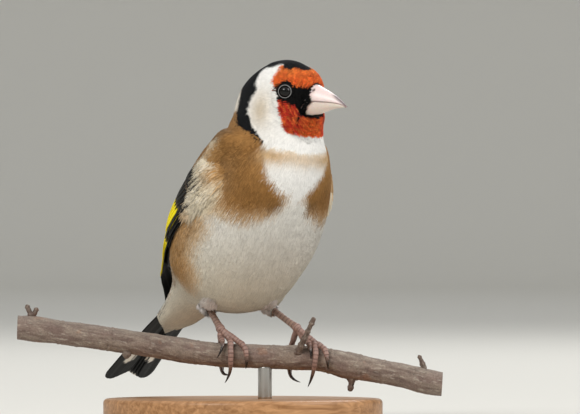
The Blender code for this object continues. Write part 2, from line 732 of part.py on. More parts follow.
def claw_path(toe, offset):
    """A hooked claw: it leaves the toe's end the way the toe points, then bends to its own point."""
    ahead = (toe[-1] - toe[-2]).normalized()
    start = toe[-1] + ahead * (GAP + 0.02)
    end = toe[-1] + view_point(*offset) - view_point(0, 0)
    bend = start + ahead * (end - start).length * 0.55
    shares = [step / 5 for step in range(6)]
    return [start * (1 - t) ** 2 + bend * 2 * t * (1 - t) + end * t * t for t in shares]


def make_foot(side):
    pieces = [ball("joint", toe_joint(side), JOINT_RADIUS, 12, 8)]
    for name, ways, offset in TOES[side]:
        path = toe_path(side, ways)
        swelling = (1.15, 1.0, 1.02, 0.92, 1.04, 0.9, 1.0, 0.9, 0.86)
        pieces.append(tube("toe", path, [TOE_RADIUS * k for k in swelling], 8))
        tube(f"claw_{side}_{name}", claw_path(path, offset), (0.56, 0.58, 0.5, 0.38, 0.24, 0.08), 7)
    return join_solids("foot_" + side, pieces)


# Stand

def turned_profile(name, profile, centre, sides):
    """A round solid from (radius, height) pairs, bottom first."""
    rings = []
    for radius, height in profile:
        turns = [2 * math.pi * side / sides for side in range(sides)]
        rings.append([centre + Vector((radius * math.cos(a), radius * math.sin(a), height)) for a in turns])
    obj = solid(name, *stacked_rings(rings), smooth=False)
    return obj


def make_stand():
    chamfer = BASE_CHAMFER
    profile = (
        (BASE_RADIUS - chamfer / 2, 0),
        (BASE_RADIUS, chamfer / 2),
        (BASE_RADIUS, BASE_THICKNESS - chamfer),
        (BASE_RADIUS - chamfer, BASE_THICKNESS),
    )
    turned_profile("stand_base", profile, Vector((0, 0, 0)), 48)
    foot = twig_centre(ROD_ACROSS)
    top = foot.z - TWIG_RADIUS + 1.0
    foot.z = 0
    rod = turned_profile("stand_rod", ((ROD_RADIUS, BASE_THICKNESS + GAP), (ROD_RADIUS, top)), foot, 16)
    grown_twig = make_perch(grow=GAP)
    cut_away(rod, grown_twig)
    drop(grown_twig)


# Finishes

COLOURS = {
    "head": ("#C8391B", 0.8), "neck": ("#E6E0D6", 0.85), "torso": ("#B9936A", 0.85), "tail": ("#1B1917", 0.6),
    "wing": ("#191715", 0.55), "bill": ("#E8CFC4", 0.35), "eye": ("#0B0908", 0.08), "leg": ("#B98578", 0.6),
    "foot": ("#B98578", 0.6), "claw": ("#4A3B36", 0.4), "perch": ("#7A6A62", 0.9), "stand_base": ("#4A3022", 0.5),
    "stand_rod": ("#8A8A88", 0.35),
}


def linear(hex_colour):
    parts = [int(hex_colour[i:i + 2], 16) / 255 for i in (1, 3, 5)]
    return [c / 12.92 if c <= 0.04045 else ((c + 0.055) / 1.055) ** 2.4 for c in parts]


def paint():
    for obj in bpy.context.scene.objects:
        key = max((k for k in COLOURS if obj.name.startswith(k)), key=len)
        colour, roughness = COLOURS[key]
        material = bpy.data.materials.new(obj.name)
        material.use_nodes = True
        shader = material.node_tree.nodes["Principled BSDF"]
        shader.inputs["Base Color"].default_value = (*linear(colour), 1)
        shader.inputs["Roughness"].default_value = roughness
        shader.inputs["Metallic"].default_value = 1.0 if obj.name == "stand_rod" else 0.0
        obj.data.materials.clear()
        obj.data.materials.append(material)


def main():
    for obj in list(bpy.data.objects):
        bpy.data.objects.remove(obj)
    grown_body = whole_body("grown_body", GAP)
    under_wings = whole_body("under_wings", GAP + 0.1, per_section=1.0)
    over_tail = over_tail_block()
    make_head()
    loft("neck", NECK_TOP, NECK_FOOT, per_section=2.1)
    loft("torso", NECK_FOOT, TAIL_ROOT, per_section=2.0)
    make_eyes()
    make_bill(grown_body)
    make_tail()
    make_wing("wing_left", 1, under_wings, over_tail)
    make_wing("wing_right", -1, under_wings, over_tail)
    for side in ("left", "right"):
        make_leg(side, grown_body)
        make_foot(side)
    make_perch()
    make_stand()
    drop(grown_body, under_wings, over_tail)
    paint()


main()
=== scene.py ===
"""Looks of a male European goldfinch perched on a cut twig, on a plain display stand.

Sizes are millimetres and angles degrees; MM turns them into metres. The bird faces -Y and its left is +X.
"""
import math

import bpy
import numpy as np
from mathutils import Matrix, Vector, noise
from mathutils.bvhtree import BVHTree


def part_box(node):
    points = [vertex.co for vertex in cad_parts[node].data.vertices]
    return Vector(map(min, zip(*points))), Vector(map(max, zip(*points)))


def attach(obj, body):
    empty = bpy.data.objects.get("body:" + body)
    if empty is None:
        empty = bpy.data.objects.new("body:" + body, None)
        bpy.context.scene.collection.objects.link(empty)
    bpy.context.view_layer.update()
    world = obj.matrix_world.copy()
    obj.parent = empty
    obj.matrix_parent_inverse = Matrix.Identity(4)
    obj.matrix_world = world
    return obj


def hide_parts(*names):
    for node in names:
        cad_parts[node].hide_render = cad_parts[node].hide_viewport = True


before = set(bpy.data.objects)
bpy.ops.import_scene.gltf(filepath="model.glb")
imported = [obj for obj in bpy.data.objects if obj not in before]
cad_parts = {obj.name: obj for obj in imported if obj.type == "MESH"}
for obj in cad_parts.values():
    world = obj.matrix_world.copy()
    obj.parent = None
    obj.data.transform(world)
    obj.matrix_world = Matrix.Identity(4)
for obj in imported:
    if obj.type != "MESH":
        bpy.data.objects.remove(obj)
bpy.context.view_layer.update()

MM = 0.001
DRAW = np.random.default_rng(41)

# The body's form: the sections and functions that the solids are lofted from

HEAD_X, HEAD_Y, HEAD_YAW = 1.2, -19.2, 24
SECTIONS = np.array((
    # x, y, z, yaw, tilt, half width, front, back, squareness
    (HEAD_X, HEAD_Y, 97.0, HEAD_YAW, 0, 4.0, 6.0, 2.6, 2.0),
    (HEAD_X, HEAD_Y, 95.0, HEAD_YAW, 0, 6.9, 9.5, 5.9, 2.1),
    (HEAD_X, HEAD_Y, 92.8, HEAD_YAW, 0, 8.7, 11.1, 8.6, 2.2),
    (HEAD_X, HEAD_Y, 90.2, HEAD_YAW, 0, 9.9, 11.8, 11.0, 2.15),
    (HEAD_X, HEAD_Y, 87.5, HEAD_YAW, 0, 10.4, 11.4, 12.6, 2.1),
    (HEAD_X, HEAD_Y, 85.0, HEAD_YAW, 0, 10.9, 11.2, 13.4, 2.1),
    (HEAD_X, HEAD_Y, 82.4, HEAD_YAW, 0, 11.2, 11.4, 13.8, 2.15),
    (HEAD_X, HEAD_Y, 79.5, HEAD_YAW, 0, 11.5, 10.7, 14.3, 2.1),
    (1.1, -18.6, 77.0, 20, 5, 12.3, 11.3, 15.2, 2.0),
    (0.8, -16.6, 74.3, 12, 14, 14.3, 14.3, 15.5, 2.0),
    (0.4, -13.6, 69.0, 5, 22, 17.2, 17.6, 16.7, 2.0),
    (0.0, -10.2, 63.5, 0, 28, 19.0, 19.2, 17.2, 2.0),
    (0.0, -6.2, 57.5, 0, 31, 19.8, 19.5, 18.4, 2.0),
    (0.0, -2.0, 51.5, 0, 33, 20.0, 18.6, 19.2, 2.0),
    (0.0, 2.5, 46.5, 0, 36, 19.0, 18.0, 17.5, 2.0),
    (0.0, 7.5, 42.0, 0, 41, 17.2, 17.3, 15.0, 2.0),
    (0.2, 13.5, 39.0, 1, 46, 14.0, 13.8, 11.0, 2.0),
    (0.1, 20.5, 36.5, 3, 52, 10.5, 8.5, 6.0, 2.0),
    (-0.4, 28.0, 32.4, 5, 54, 8.0, 5.5, 3.0, 2.0),
    (-1.0, 35.0, 28.3, 5, 54, 6.6, 3.6, 1.3, 2.4),
    (-1.8, 43.0, 22.9, 5, 54, 7.0, 1.0, 1.3, 3.0),
    (-2.4, 51.0, 17.1, 5, 54, 7.4, 1.0, 1.3, 3.0),
), float)
# A place on the body is the number of a section, from near the crown's pole to the tail's root
BODY_START, BODY_END = -0.97, 19.0
PLACE_STEP, TURN_STEP = 0.05, 2         # what the body's slopes are measured over
CROWN_POLE = (1.7, 97.9)                # ahead and height of the crown's top
COVERT_POLE = np.array((-1.6, 40.6, 23.2))
BILL_BASE = (9.0, 87.0)                 # ahead and height of the point that the face's feathers spread from
BOTH_SIDES = (1.0, -1.0)                # the bird's left and right


def between(values, place):
    """A smooth curve through equally spaced values, read at an array of places."""
    values = np.asarray(values, float)
    last = len(values) - 1
    place = np.clip(np.asarray(place, float), 0, last)
    number = np.minimum(place.astype(int), last - 1)
    share = place - number
    share = share.reshape(share.shape + (1,) * (values.ndim - 1))
    before, start = values[np.maximum(number - 1, 0)], values[number]
    end, after = values[number + 1], values[np.minimum(number + 2, last)]
    second = 2 * before - 5 * start + 4 * end - after
    third = 3 * (start - end) + after - before
    return start + 0.5 * share * (end - before + share * (second + share * third))


def read_along(stops, count):
    """A smooth curve through stops, read at this many equal steps."""
    return between(stops, np.linspace(0, len(stops) - 1, count))


def rows(*columns):
    """Points from their coordinates, or other rows from their columns."""
    return np.stack(np.broadcast_arrays(*columns), -1).astype(float)


def unit(vectors):
    return vectors / np.maximum(np.linalg.norm(vectors, axis=-1, keepdims=True), 1e-9)


def dot(first, second):
    """The dot product of each row of one array with the other's."""
    return np.einsum("ij,ij->i", first, second)


def circle(count):
    """Angles at equal steps round a circle."""
    return np.arange(count) * 2 * np.pi / count


def signed(degrees):
    """Degrees from -180 to 180."""
    return (degrees + 180) % 360 - 180


def turned(yaw):
    """Left and forward for something turned this far to the bird's left."""
    angle = np.radians(yaw)
    zero = 0 * angle
    return rows(np.cos(angle), np.sin(angle), zero), rows(np.sin(angle), -np.cos(angle), zero)


def body_point(place, degrees):
    """Points of the body's surface. Degrees run from the back, plus to the bird's left.

    Places under 0 close the crown.
    """
    place, degrees = np.broadcast_arrays(np.asarray(place, float), np.asarray(degrees, float))
    x, y, z, yaw, tilt, half_width, front, back, squareness = np.moveaxis(between(SECTIONS, place), -1, 0)
    left, forward = turned(yaw)
    tilt = np.radians(tilt)[..., None]
    backward = np.array((0, 0, 1.0)) * np.sin(tilt) - forward * np.cos(tilt)
    angle = np.radians(degrees)
    across, along = np.sin(angle), np.cos(angle)
    power = 2 / squareness
    depth = np.where(along > 0, back, front)
    point = rows(x, y, z)
    point = point + left * (np.sign(across) * np.abs(across) ** power * half_width)[..., None]
    point = point + backward * (np.sign(along) * np.abs(along) ** power * depth)[..., None]
    if (place < 0).any():
        share = np.clip(1 + place, 0, 1)
        pole = head_point(CROWN_POLE[0], 0, CROWN_POLE[1])
        capped = pole + (point - pole) * share[..., None]
        capped[..., 2] = CROWN_POLE[1] - (CROWN_POLE[1] - SECTIONS[0, 2]) * share ** 2
        point = np.where((place < 0)[..., None], capped, point)
    return point


def body_steps(place, degrees):
    """How the body's surface runs over a short step to each side of a place, tailwards and leftwards."""
    along = body_point(place + PLACE_STEP, degrees) - body_point(place - PLACE_STEP, degrees)
    around = body_point(place, degrees + TURN_STEP) - body_point(place, degrees - TURN_STEP)
    return along, around


def body_slopes(place, degrees):
    """Tailward and leftward tangents and the outward normal of the body's surface."""
    along, around = body_steps(np.maximum(place, -0.94), degrees)
    return unit(along), unit(around), unit(np.cross(around, along))


def moved_on(place, degrees, steps):
    """The place and degrees reached from a place of the body by small steps over its surface."""
    tailward, leftward, _ = body_slopes(place, degrees)
    along, around = body_steps(place, degrees)
    long = np.linalg.norm(along, axis=-1) / (2 * PLACE_STEP)
    wide = np.linalg.norm(around, axis=-1) / (2 * TURN_STEP)
    moved = place + dot(steps, tailward) / np.maximum(long, 1.0)
    turned_to = degrees + dot(steps, leftward) / np.maximum(wide, 0.03)
    return np.clip(moved, BODY_START, BODY_END), turned_to


def head_point(ahead, out, height):
    """A point in the head's own frame; out is to the bird's left."""
    left, forward = turned(HEAD_YAW)
    ahead, out, height = np.broadcast_arrays(np.asarray(ahead, float), out, height)
    flat = forward * ahead[..., None] + left * np.asarray(out, float)[..., None]
    return flat + rows(HEAD_X + 0 * ahead, HEAD_Y + 0 * ahead, height)


def head_frame(points):
    """How far points are ahead of the head's axis, out to its left, and up."""
    left, forward = turned(HEAD_YAW)
    flat = points - np.array((HEAD_X, HEAD_Y, 0))
    return flat @ forward, flat @ left, points[..., 2]


def step_curve(value, low, high):
    """A smooth step from 0 at low to 1 at high."""
    share = np.clip((value - low) / (high - low), 0, 1)
    return share * share * (3 - 2 * share)


# Colours

def linear(hex_colour):
    """An sRGB hex value as linear red, green and blue."""
    parts = np.array([int(hex_colour[i:i + 2], 16) / 255 for i in (1, 3, 5)])
    return np.where(parts <= 0.04045, parts / 12.92, ((parts + 0.055) / 1.055) ** 2.4)


WHITE, WARM_WHITE = linear("#F3F1ED"), linear("#EEE7DB")
# The belly's white, and its darker, warmer tone towards the vent: partly the vent's own buff, partly painted
# shade.
BELLY_WHITE, VENT_BUFF_AND_SHADE = linear("#E7E4DD"), linear("#DCD6C6")
SHIN_WHITE, HEEL_WHITE = linear("#F4ECE8"), linear("#F4EDE9")
WISP_WHITE, WISP_CREAM, WISP_TAN = linear("#F0E8DA"), linear("#E4D7BD"), linear("#BF945E")
BUFF, CHEEK_BUFF, THROAT_BUFF = linear("#DEC6A4"), linear("#C9B89F"), linear("#CBA97E")
BROWN, DARK_BROWN = linear("#A27643"), linear("#755127")
MANTLE_BROWN, FLANK_TAN = linear("#8F6F4C"), linear("#B58850")
BLACK, CROWN_BLACK = linear("#060606"), linear("#111215")
FOREHEAD_YELLOW, FOREHEAD_ORANGE, FACE_RED = linear("#FFA44C"), linear("#FC6A2B"), linear("#C93222")
DEEP_RED, FIERY_ORANGE = linear("#941A14"), linear("#FF9240")
WING_YELLOW, WING_BLACK = linear("#F8E400"), linear("#0C0B0A")


def blend(colours, other, share):
    """Colours moved this share of the way to another. One colour and an array of shares give an array."""
    return colours + (other - colours) * np.clip(share, 0, 1)[..., None]


def colour_field(shape, base):
    return np.broadcast_to(base, (*shape, 3)).copy()


# Edges of the markings on the head: heights, and degrees round it from 0 at the bill to 180 at the nape

STRIPE_FRONT = (
    (75.5, 76.1, 78.7, 80.7, 83.0, 85.3, 87.9, 89.6, 91.7, 93.1, 94.8),
    (84, 89, 98, 104, 111, 111, 105, 95, 105, 106, 107),
)
STRIPE_BACK = (
    (75.5, 75.8, 78.2, 80.3, 82.5, 84.2, 87.6, 89.8, 91, 92),
    (88, 93, 113, 128, 136, 136, 139, 145, 165, 181),
)
RED_BACK = (
    (76.5, 77.9, 79.7, 82.0, 84.1, 86.2, 87.5, 89.7, 91.6, 93.3, 94.5, 96.0, 96.6),
    (44, 52, 55, 55.5, 59, 62, 64, 67, 71.5, 70.6, 65, 62.6, 57),
)
RED_FOOT = ((0, 8, 22, 36, 52), (76.6, 76.7, 76.6, 77.3, 78.2))
CROWN_EDGE = (
    (0, 11, 20, 26, 35, 43, 50, 56, 62, 70, 80, 107),
    (95.2, 95.2, 95.3, 95.8, 95.5, 94.9, 95.8, 96.6, 96.8, 96.4, 96.1, 95.4),
)
MASK_TOP = ((0, 3, 12, 25, 36, 48, 60, 65), (91.6, 91.3, 90.6, 90.1, 90.6, 91.4, 90.9, 89.8))
MASK_FOOT = ((0, 12, 26, 31, 37, 43, 51, 60, 65), (81.8, 81.8, 82.8, 84.2, 85.2, 85.8, 86.2, 86.4, 88.5))


def head_markings(points):
    """White cheeks, a tawny nape with a pale spot, a black crown and stripe, a red face and a black mask."""
    ahead, out, z = head_frame(points)
    side = np.degrees(np.arctan2(np.abs(out), ahead))
    smudge = np.exp(-((side - 88) / 17) ** 2 - ((z - 84.0) / 5) ** 2)
    colours = blend(WHITE, CHEEK_BUFF, 0.85 * smudge)
    stripe_back = np.interp(z, *STRIPE_BACK)
    pale_nape = np.exp(-((z - 86.5) / 3.2) ** 4)
    tawny = blend(BROWN, MANTLE_BROWN, np.maximum(step_curve(z, 75, 85), step_curve(side, 120, 160)))
    colours = np.where((side > stripe_back)[..., None], blend(tawny, WARM_WHITE, pale_nape), colours)
    stripe = (side > np.interp(z, *STRIPE_FRONT)) & (side <= stripe_back) & (z > 75.4)
    crown_edge = np.interp(side, *CROWN_EDGE)
    crown = (z > crown_edge) & (side < 112)
    colours[stripe | crown] = CROWN_BLACK
    red = (side < np.interp(z, *RED_BACK)) & (z < crown_edge) & (z > np.interp(side, *RED_FOOT))
    tone = np.maximum(step_curve(z, 84, 92), 0.85 * (1 - step_curve(side, 12, 34)))
    reds = blend(blend(FACE_RED, FOREHEAD_ORANGE, tone), FOREHEAD_YELLOW, step_curve(z, 92.0, 96.0) * 0.35)
    colours = np.where(red[..., None], reds, colours)
    mask = (side < 64.5) & (z < np.interp(side, *MASK_TOP)) & (z > np.interp(side, *MASK_FOOT))
    # The mask comes down in a wedge beside the bill, and the feathers round the eye are black
    wedge = (np.abs(side - 29.6 - 1.65 * (82.3 - z)) < 0.6 * (z - 79.0)) & (z > 79.4) & (z < 83.5)
    from_eye = np.linalg.norm(points - eye_place(np.where(out > 0, 1.0, -1.0))[0], axis=-1)
    colours[mask | wedge | (from_eye < 3.2)] = BLACK
    pale_corner = (from_eye > 3.15) & (from_eye < 3.65) & (side > 55) & (z > 87.2) & (z < 89.7)
    colours[pale_corner] = WHITE
    return colours


# Edges of the markings on the body: places, and degrees from 0 along the back to 180 down the breast's middle

BREAST_MIDDLE = ((8.5, 9.2, 9.8, 10.1, 10.4, 11.0, 12.5), (8, 10, 12, 10, 5, 2, 0))
WISPS_OUTER = (
    (9.0, 9.2, 9.55, 9.9, 10.35, 10.6, 11.15, 11.5, 12.0, 12.6),
    (70, 66, 58, 53, 60, 66, 78, 86, 84, 81),
)
WISPS_INNER = ((9.0, 9.2, 9.6, 10.15, 10.65, 11.2, 11.5, 12.6), (72, 74, 87, 93, 102, 115, 124, 126))
BIB_EDGE = (
    (8.4, 8.8, 9.05, 9.3, 9.6, 9.8, 9.96, 10.1, 10.2, 10.35, 11.0),
    (112, 120, 126, 136, 144, 151, 157, 162, 168, 171, 172),
)
PATCH_END = (
    (60, 85, 100, 114, 122, 128, 136, 147, 156, 163, 166, 170),
    (11.9, 11.9, 11.75, 11.5, 11.4, 11.36, 11.36, 11.2, 10.96, 10.8, 10.55, 10.3),
)
FLANK_EDGE = (
    (11.9, 12.1, 12.6, 13.1, 13.8, 14.2, 14.4, 14.9, 15.8),
    (114, 117, 115, 111, 112, 118, 123, 124, 122),
)
HEAD_END = ((60, 85, 100, 112, 127, 150, 180), (8.15, 8.2, 8.35, 8.5, 8.72, 8.78, 8.8))


def wisp_edges(place):
    """Degrees from the back between which pale wisps cross the shoulder."""
    return np.interp(place, *WISPS_OUTER), np.interp(place, *WISPS_INNER)


def wisp_tone(place, side, streak):
    """The pale wisps' colour: cream by the wing, and tan towards the breast's brown."""
    outer, inner = wisp_edges(place)
    inward = np.clip((side - outer) / (inner - outer), 0, 1) + 0.3 * (streak - 0.5)
    tanned = step_curve(inward, 0.15, 1.0) * (1 - 0.75 * step_curve(place, 10.4, 11.2))
    return blend(WISP_CREAM, WISP_TAN, tanned)


def spot_at(place, side, middle, size):
    """1 at the middle of a soft spot of the body, as place and degrees, and less away from it."""
    return np.exp(-((place - middle[0]) / size[0]) ** 2 - ((side - middle[1]) / size[1]) ** 2)


def markings(points, place, degrees):
    """The plumage's colour at points of the skin, which the skin and every tuft share."""
    side = 180 - np.abs(signed(degrees + 180 - np.interp(place, *BREAST_MIDDLE)))
    streak = 0.5 + 0.5 * np.sin(degrees * 1.7 + 3 * np.sin(place * 2.1) + 2 * np.sin(degrees * 0.31))
    # Mantle, breast and the wisps at the shoulder
    colours = blend(MANTLE_BROWN, BROWN, step_curve(side, 55, 80))
    colours = blend(colours, DARK_BROWN, 0.55 * spot_at(place, side, (10.45, 138), (0.5, 26)))
    outer, inner = wisp_edges(place)
    wisps = step_curve(side, outer - 3, outer + 2) * (1 - step_curve(side, inner - 14, inner + 10))
    wisps *= step_curve(place, 9.0, 9.3) * (1 - step_curve(place, 11.6, 12.0))
    colours = blend(colours, wisp_tone(place, side, streak), wisps * (0.75 + 0.25 * streak))
    # The white bib, with a buff band across the throat
    bib_from = np.interp(place, *BIB_EDGE)
    bib = step_curve(side, bib_from - 3, bib_from + 6)
    colours = blend(colours, WARM_WHITE, bib * (1 - step_curve(place, 9.2, 9.7)))
    colours = blend(colours, WHITE, bib * step_curve(place, 9.0, 9.45))
    band = step_curve(side, 112, 132) * np.exp(-((place - 9.04 - 0.05 * np.sin(degrees * 0.13)) / 0.3) ** 2)
    colours = blend(colours, THROAT_BUFF, (1 - 0.42 * step_curve(side, 135, 172)) * band)
    # The breast's patches end in buff, and the belly is pale below them, painted darker and warmer towards
    # the vent: partly the vent's own buff, partly painted shade.
    patch_end = np.interp(side, *PATCH_END)
    fade = np.exp(-((place - patch_end) / 0.27) ** 2) + 0.5 * spot_at(place, side, (10.6, 106), (0.8, 11))
    colours = blend(colours, BUFF, 0.42 * fade * step_curve(side, 80, 95) * (1 - bib))
    belly = step_curve(place, patch_end - 0.06, patch_end + 0.34) * step_curve(side, 66, 84)
    colours = blend(colours, blend(BELLY_WHITE, VENT_BUFF_AND_SHADE, step_curve(place, 11.2, 15.0)), belly)
    # Tan flanks
    flank_to = np.interp(place, *FLANK_EDGE)
    flank = (1 - step_curve(side, flank_to - 9, flank_to + 5)) * step_curve(side, 60, 70)
    flank *= step_curve(place, 11.7, 12.1) * (1 - step_curve(place, 15.2, 16.3))
    tan = blend(FLANK_TAN, BUFF, step_curve(side, flank_to - 26, flank_to - 2) * 0.7)
    colours = blend(colours, tan, flank * (0.86 + 0.14 * streak))
    colours = blend(colours, DARK_BROWN, 0.75 * spot_at(place, side, (10.62, 161), (0.24, 8)) * (1 - belly))
    # A pale rump and dark tail coverts
    rump = (1 - step_curve(side, 60, 75)) * step_curve(place, 14.2, 15.4)
    colours = blend(colours, WARM_WHITE, rump)
    tail_coverts = (1 - step_curve(side, 70, 90)) * step_curve(place, 17.6, 18.4)
    colours = blend(colours, CROWN_BLACK, tail_coverts * streak)
    on_head = place < np.interp(side, *HEAD_END)
    return np.where(on_head[..., None], head_markings(points), colours)


# Meshes from arrays

class Shape:
    """Points, quads and triangles of one piece, with colours at points and unwrapped places at corners."""

    def __init__(self):
        self.points, self.quads, self.triangles = [], [], []
        self.quad_corners, self.triangle_corners = [], []
        self.colours, self.grain, self.normals = [], [], []
        self.count = 0

    def add(
        self, points, quads, triangles, quad_corners, triangle_corners, colours, grain=None, normals=None,
    ):
        self.points.append(points)
        self.quads.append(np.asarray(quads, int).reshape(-1, 4) + self.count)
        self.triangles.append(np.asarray(triangles, int).reshape(-1, 3) + self.count)
        self.quad_corners.append(np.asarray(quad_corners, float).reshape(-1, 4, 2))
        self.triangle_corners.append(np.asarray(triangle_corners, float).reshape(-1, 3, 2))
        self.colours.append(np.broadcast_to(colours, points.shape))
        self.grain.append(np.zeros(len(points)) if grain is None else grain)
        if normals is not None:
            self.normals.append(normals)
        self.count += len(points)

    def joined(self):
        """All points, quads and triangles."""
        return (np.concatenate(part) for part in (self.points, self.quads, self.triangles))

    def build(self, name, material):
        """The piece as a mesh object, with its markings, grain, unwrap, material and normals."""
        points, quads, triangles = self.joined()
        mesh = bpy.data.meshes.new(name)
        corners = np.concatenate([quads.ravel(), triangles.ravel()])
        mesh.vertices.add(len(points))
        mesh.vertices.foreach_set("co", (points * MM).astype(np.float32).ravel())
        mesh.loops.add(len(corners))
        mesh.loops.foreach_set("vertex_index", corners.astype(np.int32))
        starts = np.concatenate([np.arange(len(quads)) * 4, len(quads) * 4 + np.arange(len(triangles)) * 3])
        mesh.polygons.add(len(starts))
        mesh.polygons.foreach_set("loop_start", starts.astype(np.int32))
        mesh.update(calc_edges=True)
        coat = mesh.attributes.new("plumage", "FLOAT_COLOR", "POINT")
        colours = np.column_stack([np.concatenate(self.colours), np.ones(len(points))])
        coat.data.foreach_set("color", colours.astype(np.float32).ravel())
        grain = mesh.attributes.new("grain", "FLOAT", "POINT")
        grain.data.foreach_set("value", np.concatenate(self.grain).astype(np.float32))
        patch = mesh.uv_layers.new(name="OFBake")
        corner_lists = (np.concatenate(part) for part in (self.quad_corners, self.triangle_corners))
        places = np.concatenate([corner_list.reshape(-1, 2) for corner_list in corner_lists])
        patch.data.foreach_set("uv", places.astype(np.float32).ravel())
        mesh.shade_smooth()
        mesh.materials.append(material)
        mesh.validate()
        if self.normals:
            mesh.normals_split_custom_set_from_vertices(np.concatenate(self.normals).astype(np.float32))
        obj = bpy.data.objects.new(name, mesh)
        bpy.context.scene.collection.objects.link(obj)
        return obj


def signed_volume(points, quads, triangles):
    """Above 0 where a closed mesh's faces point outwards."""
    faces = np.concatenate([quads[:, (0, 1, 2)], quads[:, (0, 2, 3)], triangles])
    a, b, c = (points[faces[:, k]] - points.mean(0) for k in range(3))
    return dot(a, np.cross(b, c)).sum()


def ring_quads(levels, sides, spot, closed=False):
    """Quads from each ring to the next, and their corners' places on the unwrap, which spot gives."""
    level, side = np.meshgrid(np.arange(levels if closed else levels - 1), np.arange(sides), indexing="ij")
    level, side = level.ravel(), side.ravel()
    after, beyond = (side + 1) % sides, (level + 1) % levels
    quads = [level * sides + side, level * sides + after, beyond * sides + after, beyond * sides + side]
    corners = [spot(side, level), spot(side + 1, level), spot(side + 1, level + 1), spot(side, level + 1)]
    return np.stack(quads, 1), np.stack(corners, 1)


def add_rings(shape, rings, colours, patch=(0, 0, 1, 1), first_pole=None, last_pole=None, grain=None):
    """A closed tube through rings, as points (levels, sides, 3), ended by poles. patch is its unwrap."""
    levels, sides = rings.shape[:2]
    first = rings[0].mean(0) if first_pole is None else first_pole
    last = rings[-1].mean(0) if last_pole is None else last_pole
    points = np.concatenate([rings.reshape(-1, 3), [first, last]])
    x0, y0, x1, y1 = patch
    rim = 0.04 * (y1 - y0)

    def spot(around, along):
        return rows(x0 + (x1 - x0) * around / sides, y0 + rim + (y1 - y0 - 2 * rim) * along / (levels - 1))

    quads, quad_corners = ring_quads(levels, sides, spot)
    ends = np.arange(sides)
    next_end = (ends + 1) % sides
    start, stop = levels * sides, levels * sides + 1
    top = (levels - 1) * sides
    triangles = np.concatenate([
        np.stack([next_end, ends, np.full(sides, start)], 1),
        np.stack([top + ends, top + next_end, np.full(sides, stop)], 1),
    ])
    low, high = spot(ends + 0.5, 0), spot(ends + 0.5, levels - 1)
    low[:, 1] -= rim
    high[:, 1] += rim
    triangle_corners = np.concatenate([
        np.stack([spot(ends + 1, 0), spot(ends, 0), low], 1),
        np.stack([spot(ends, levels - 1), spot(ends + 1, levels - 1), high], 1),
    ])
    if signed_volume(points, quads, triangles) < 0:
        quads, quad_corners = quads[:, ::-1], quad_corners[:, ::-1]
        triangles, triangle_corners = triangles[:, ::-1], triangle_corners[:, ::-1]
    if np.ndim(colours) == 3:
        colours = np.concatenate([colours.reshape(-1, 3), [colours[0].mean(0), colours[-1].mean(0)]])
    if grain is not None:
        grain = np.concatenate([grain.ravel(), [0, 0]])
    shape.add(points, quads, triangles, quad_corners, triangle_corners, colours, grain)


def add_loop(shape, rings, colours, patch):
    """A tube that closes on itself, so that its last ring joins the first."""
    levels, sides = rings.shape[:2]
    x0, y0, x1, y1 = patch

    def spot(around, along):
        return rows(x0 + (x1 - x0) * around / sides, y0 + (y1 - y0) * along / levels)

    quads, corners = ring_quads(levels, sides, spot, closed=True)
    points = rings.reshape(-1, 3)
    if signed_volume(points, quads, np.empty((0, 3), int)) < 0:
        quads, corners = quads[:, ::-1], corners[:, ::-1]
    shape.add(points, quads, np.empty((0, 3)), corners, np.empty((0, 3, 2)), colours.reshape(-1, 3))


def rings_round(path, turn, flatness=1.0):
    """Directions round each point of a path, at these angles, and turned as little as possible along it."""
    ahead = unit(np.gradient(path, axis=0))
    across = np.empty_like(path)
    side = np.cross(ahead[0], (0, 0, 1.0))
    if np.linalg.norm(side) < 0.1:
        side = np.cross(ahead[0], (1.0, 0, 0))
    for number, way in enumerate(ahead):
        side = unit(side - way * (side @ way))
        across[number] = side
    third = np.cross(ahead, across)
    level = across[:, None] * flatness * np.cos(turn)[None, :, None]
    return level + third[:, None] * np.sin(turn)[None, :, None]


# Materials

def add_node(tree, kind, settings=None, inputs=None):
    """Adds a node with its settings; each input is a value or an output socket to link from."""
    node = tree.nodes.new(kind)
    for name, value in (settings or {}).items():
        setattr(node, name, value)
    for name, value in (inputs or {}).items():
        if isinstance(value, bpy.types.NodeSocket):
            tree.links.new(value, node.inputs[name])
        else:
            node.inputs[name].default_value = value
    return node


def new_material(name, **surface):
    """A material and its Principled shader, with constant values set on the shader's own sockets."""
    material = bpy.data.materials.new(name)
    material.use_nodes = True
    shader = material.node_tree.nodes["Principled BSDF"]
    for key, value in surface.items():
        shader.inputs[key.replace("_", " ")].default_value = value
    return material, material.node_tree, shader


def rgba(hex_colour):
    """An sRGB hex value as a shader's colour."""
    return (*linear(hex_colour), 1)


def shaded(tree, shader, colour, shade):
    """Gives a shader its colour, made lighter or darker by shade."""
    tint = add_node(tree, "ShaderNodeVectorMath", {"operation": "SCALE"}, {0: colour, "Scale": shade})
    tree.links.new(tint.outputs["Vector"], shader.inputs["Base Color"])


def raise_surface(tree, shader, height, strength, distance):
    """Gives a shader a relief from a height. distance is in millimetres."""
    raised = add_node(tree, "ShaderNodeBump", None, {
        "Height": height, "Strength": strength, "Distance": distance * MM,
    })
    tree.links.new(raised.outputs["Normal"], shader.inputs["Normal"])


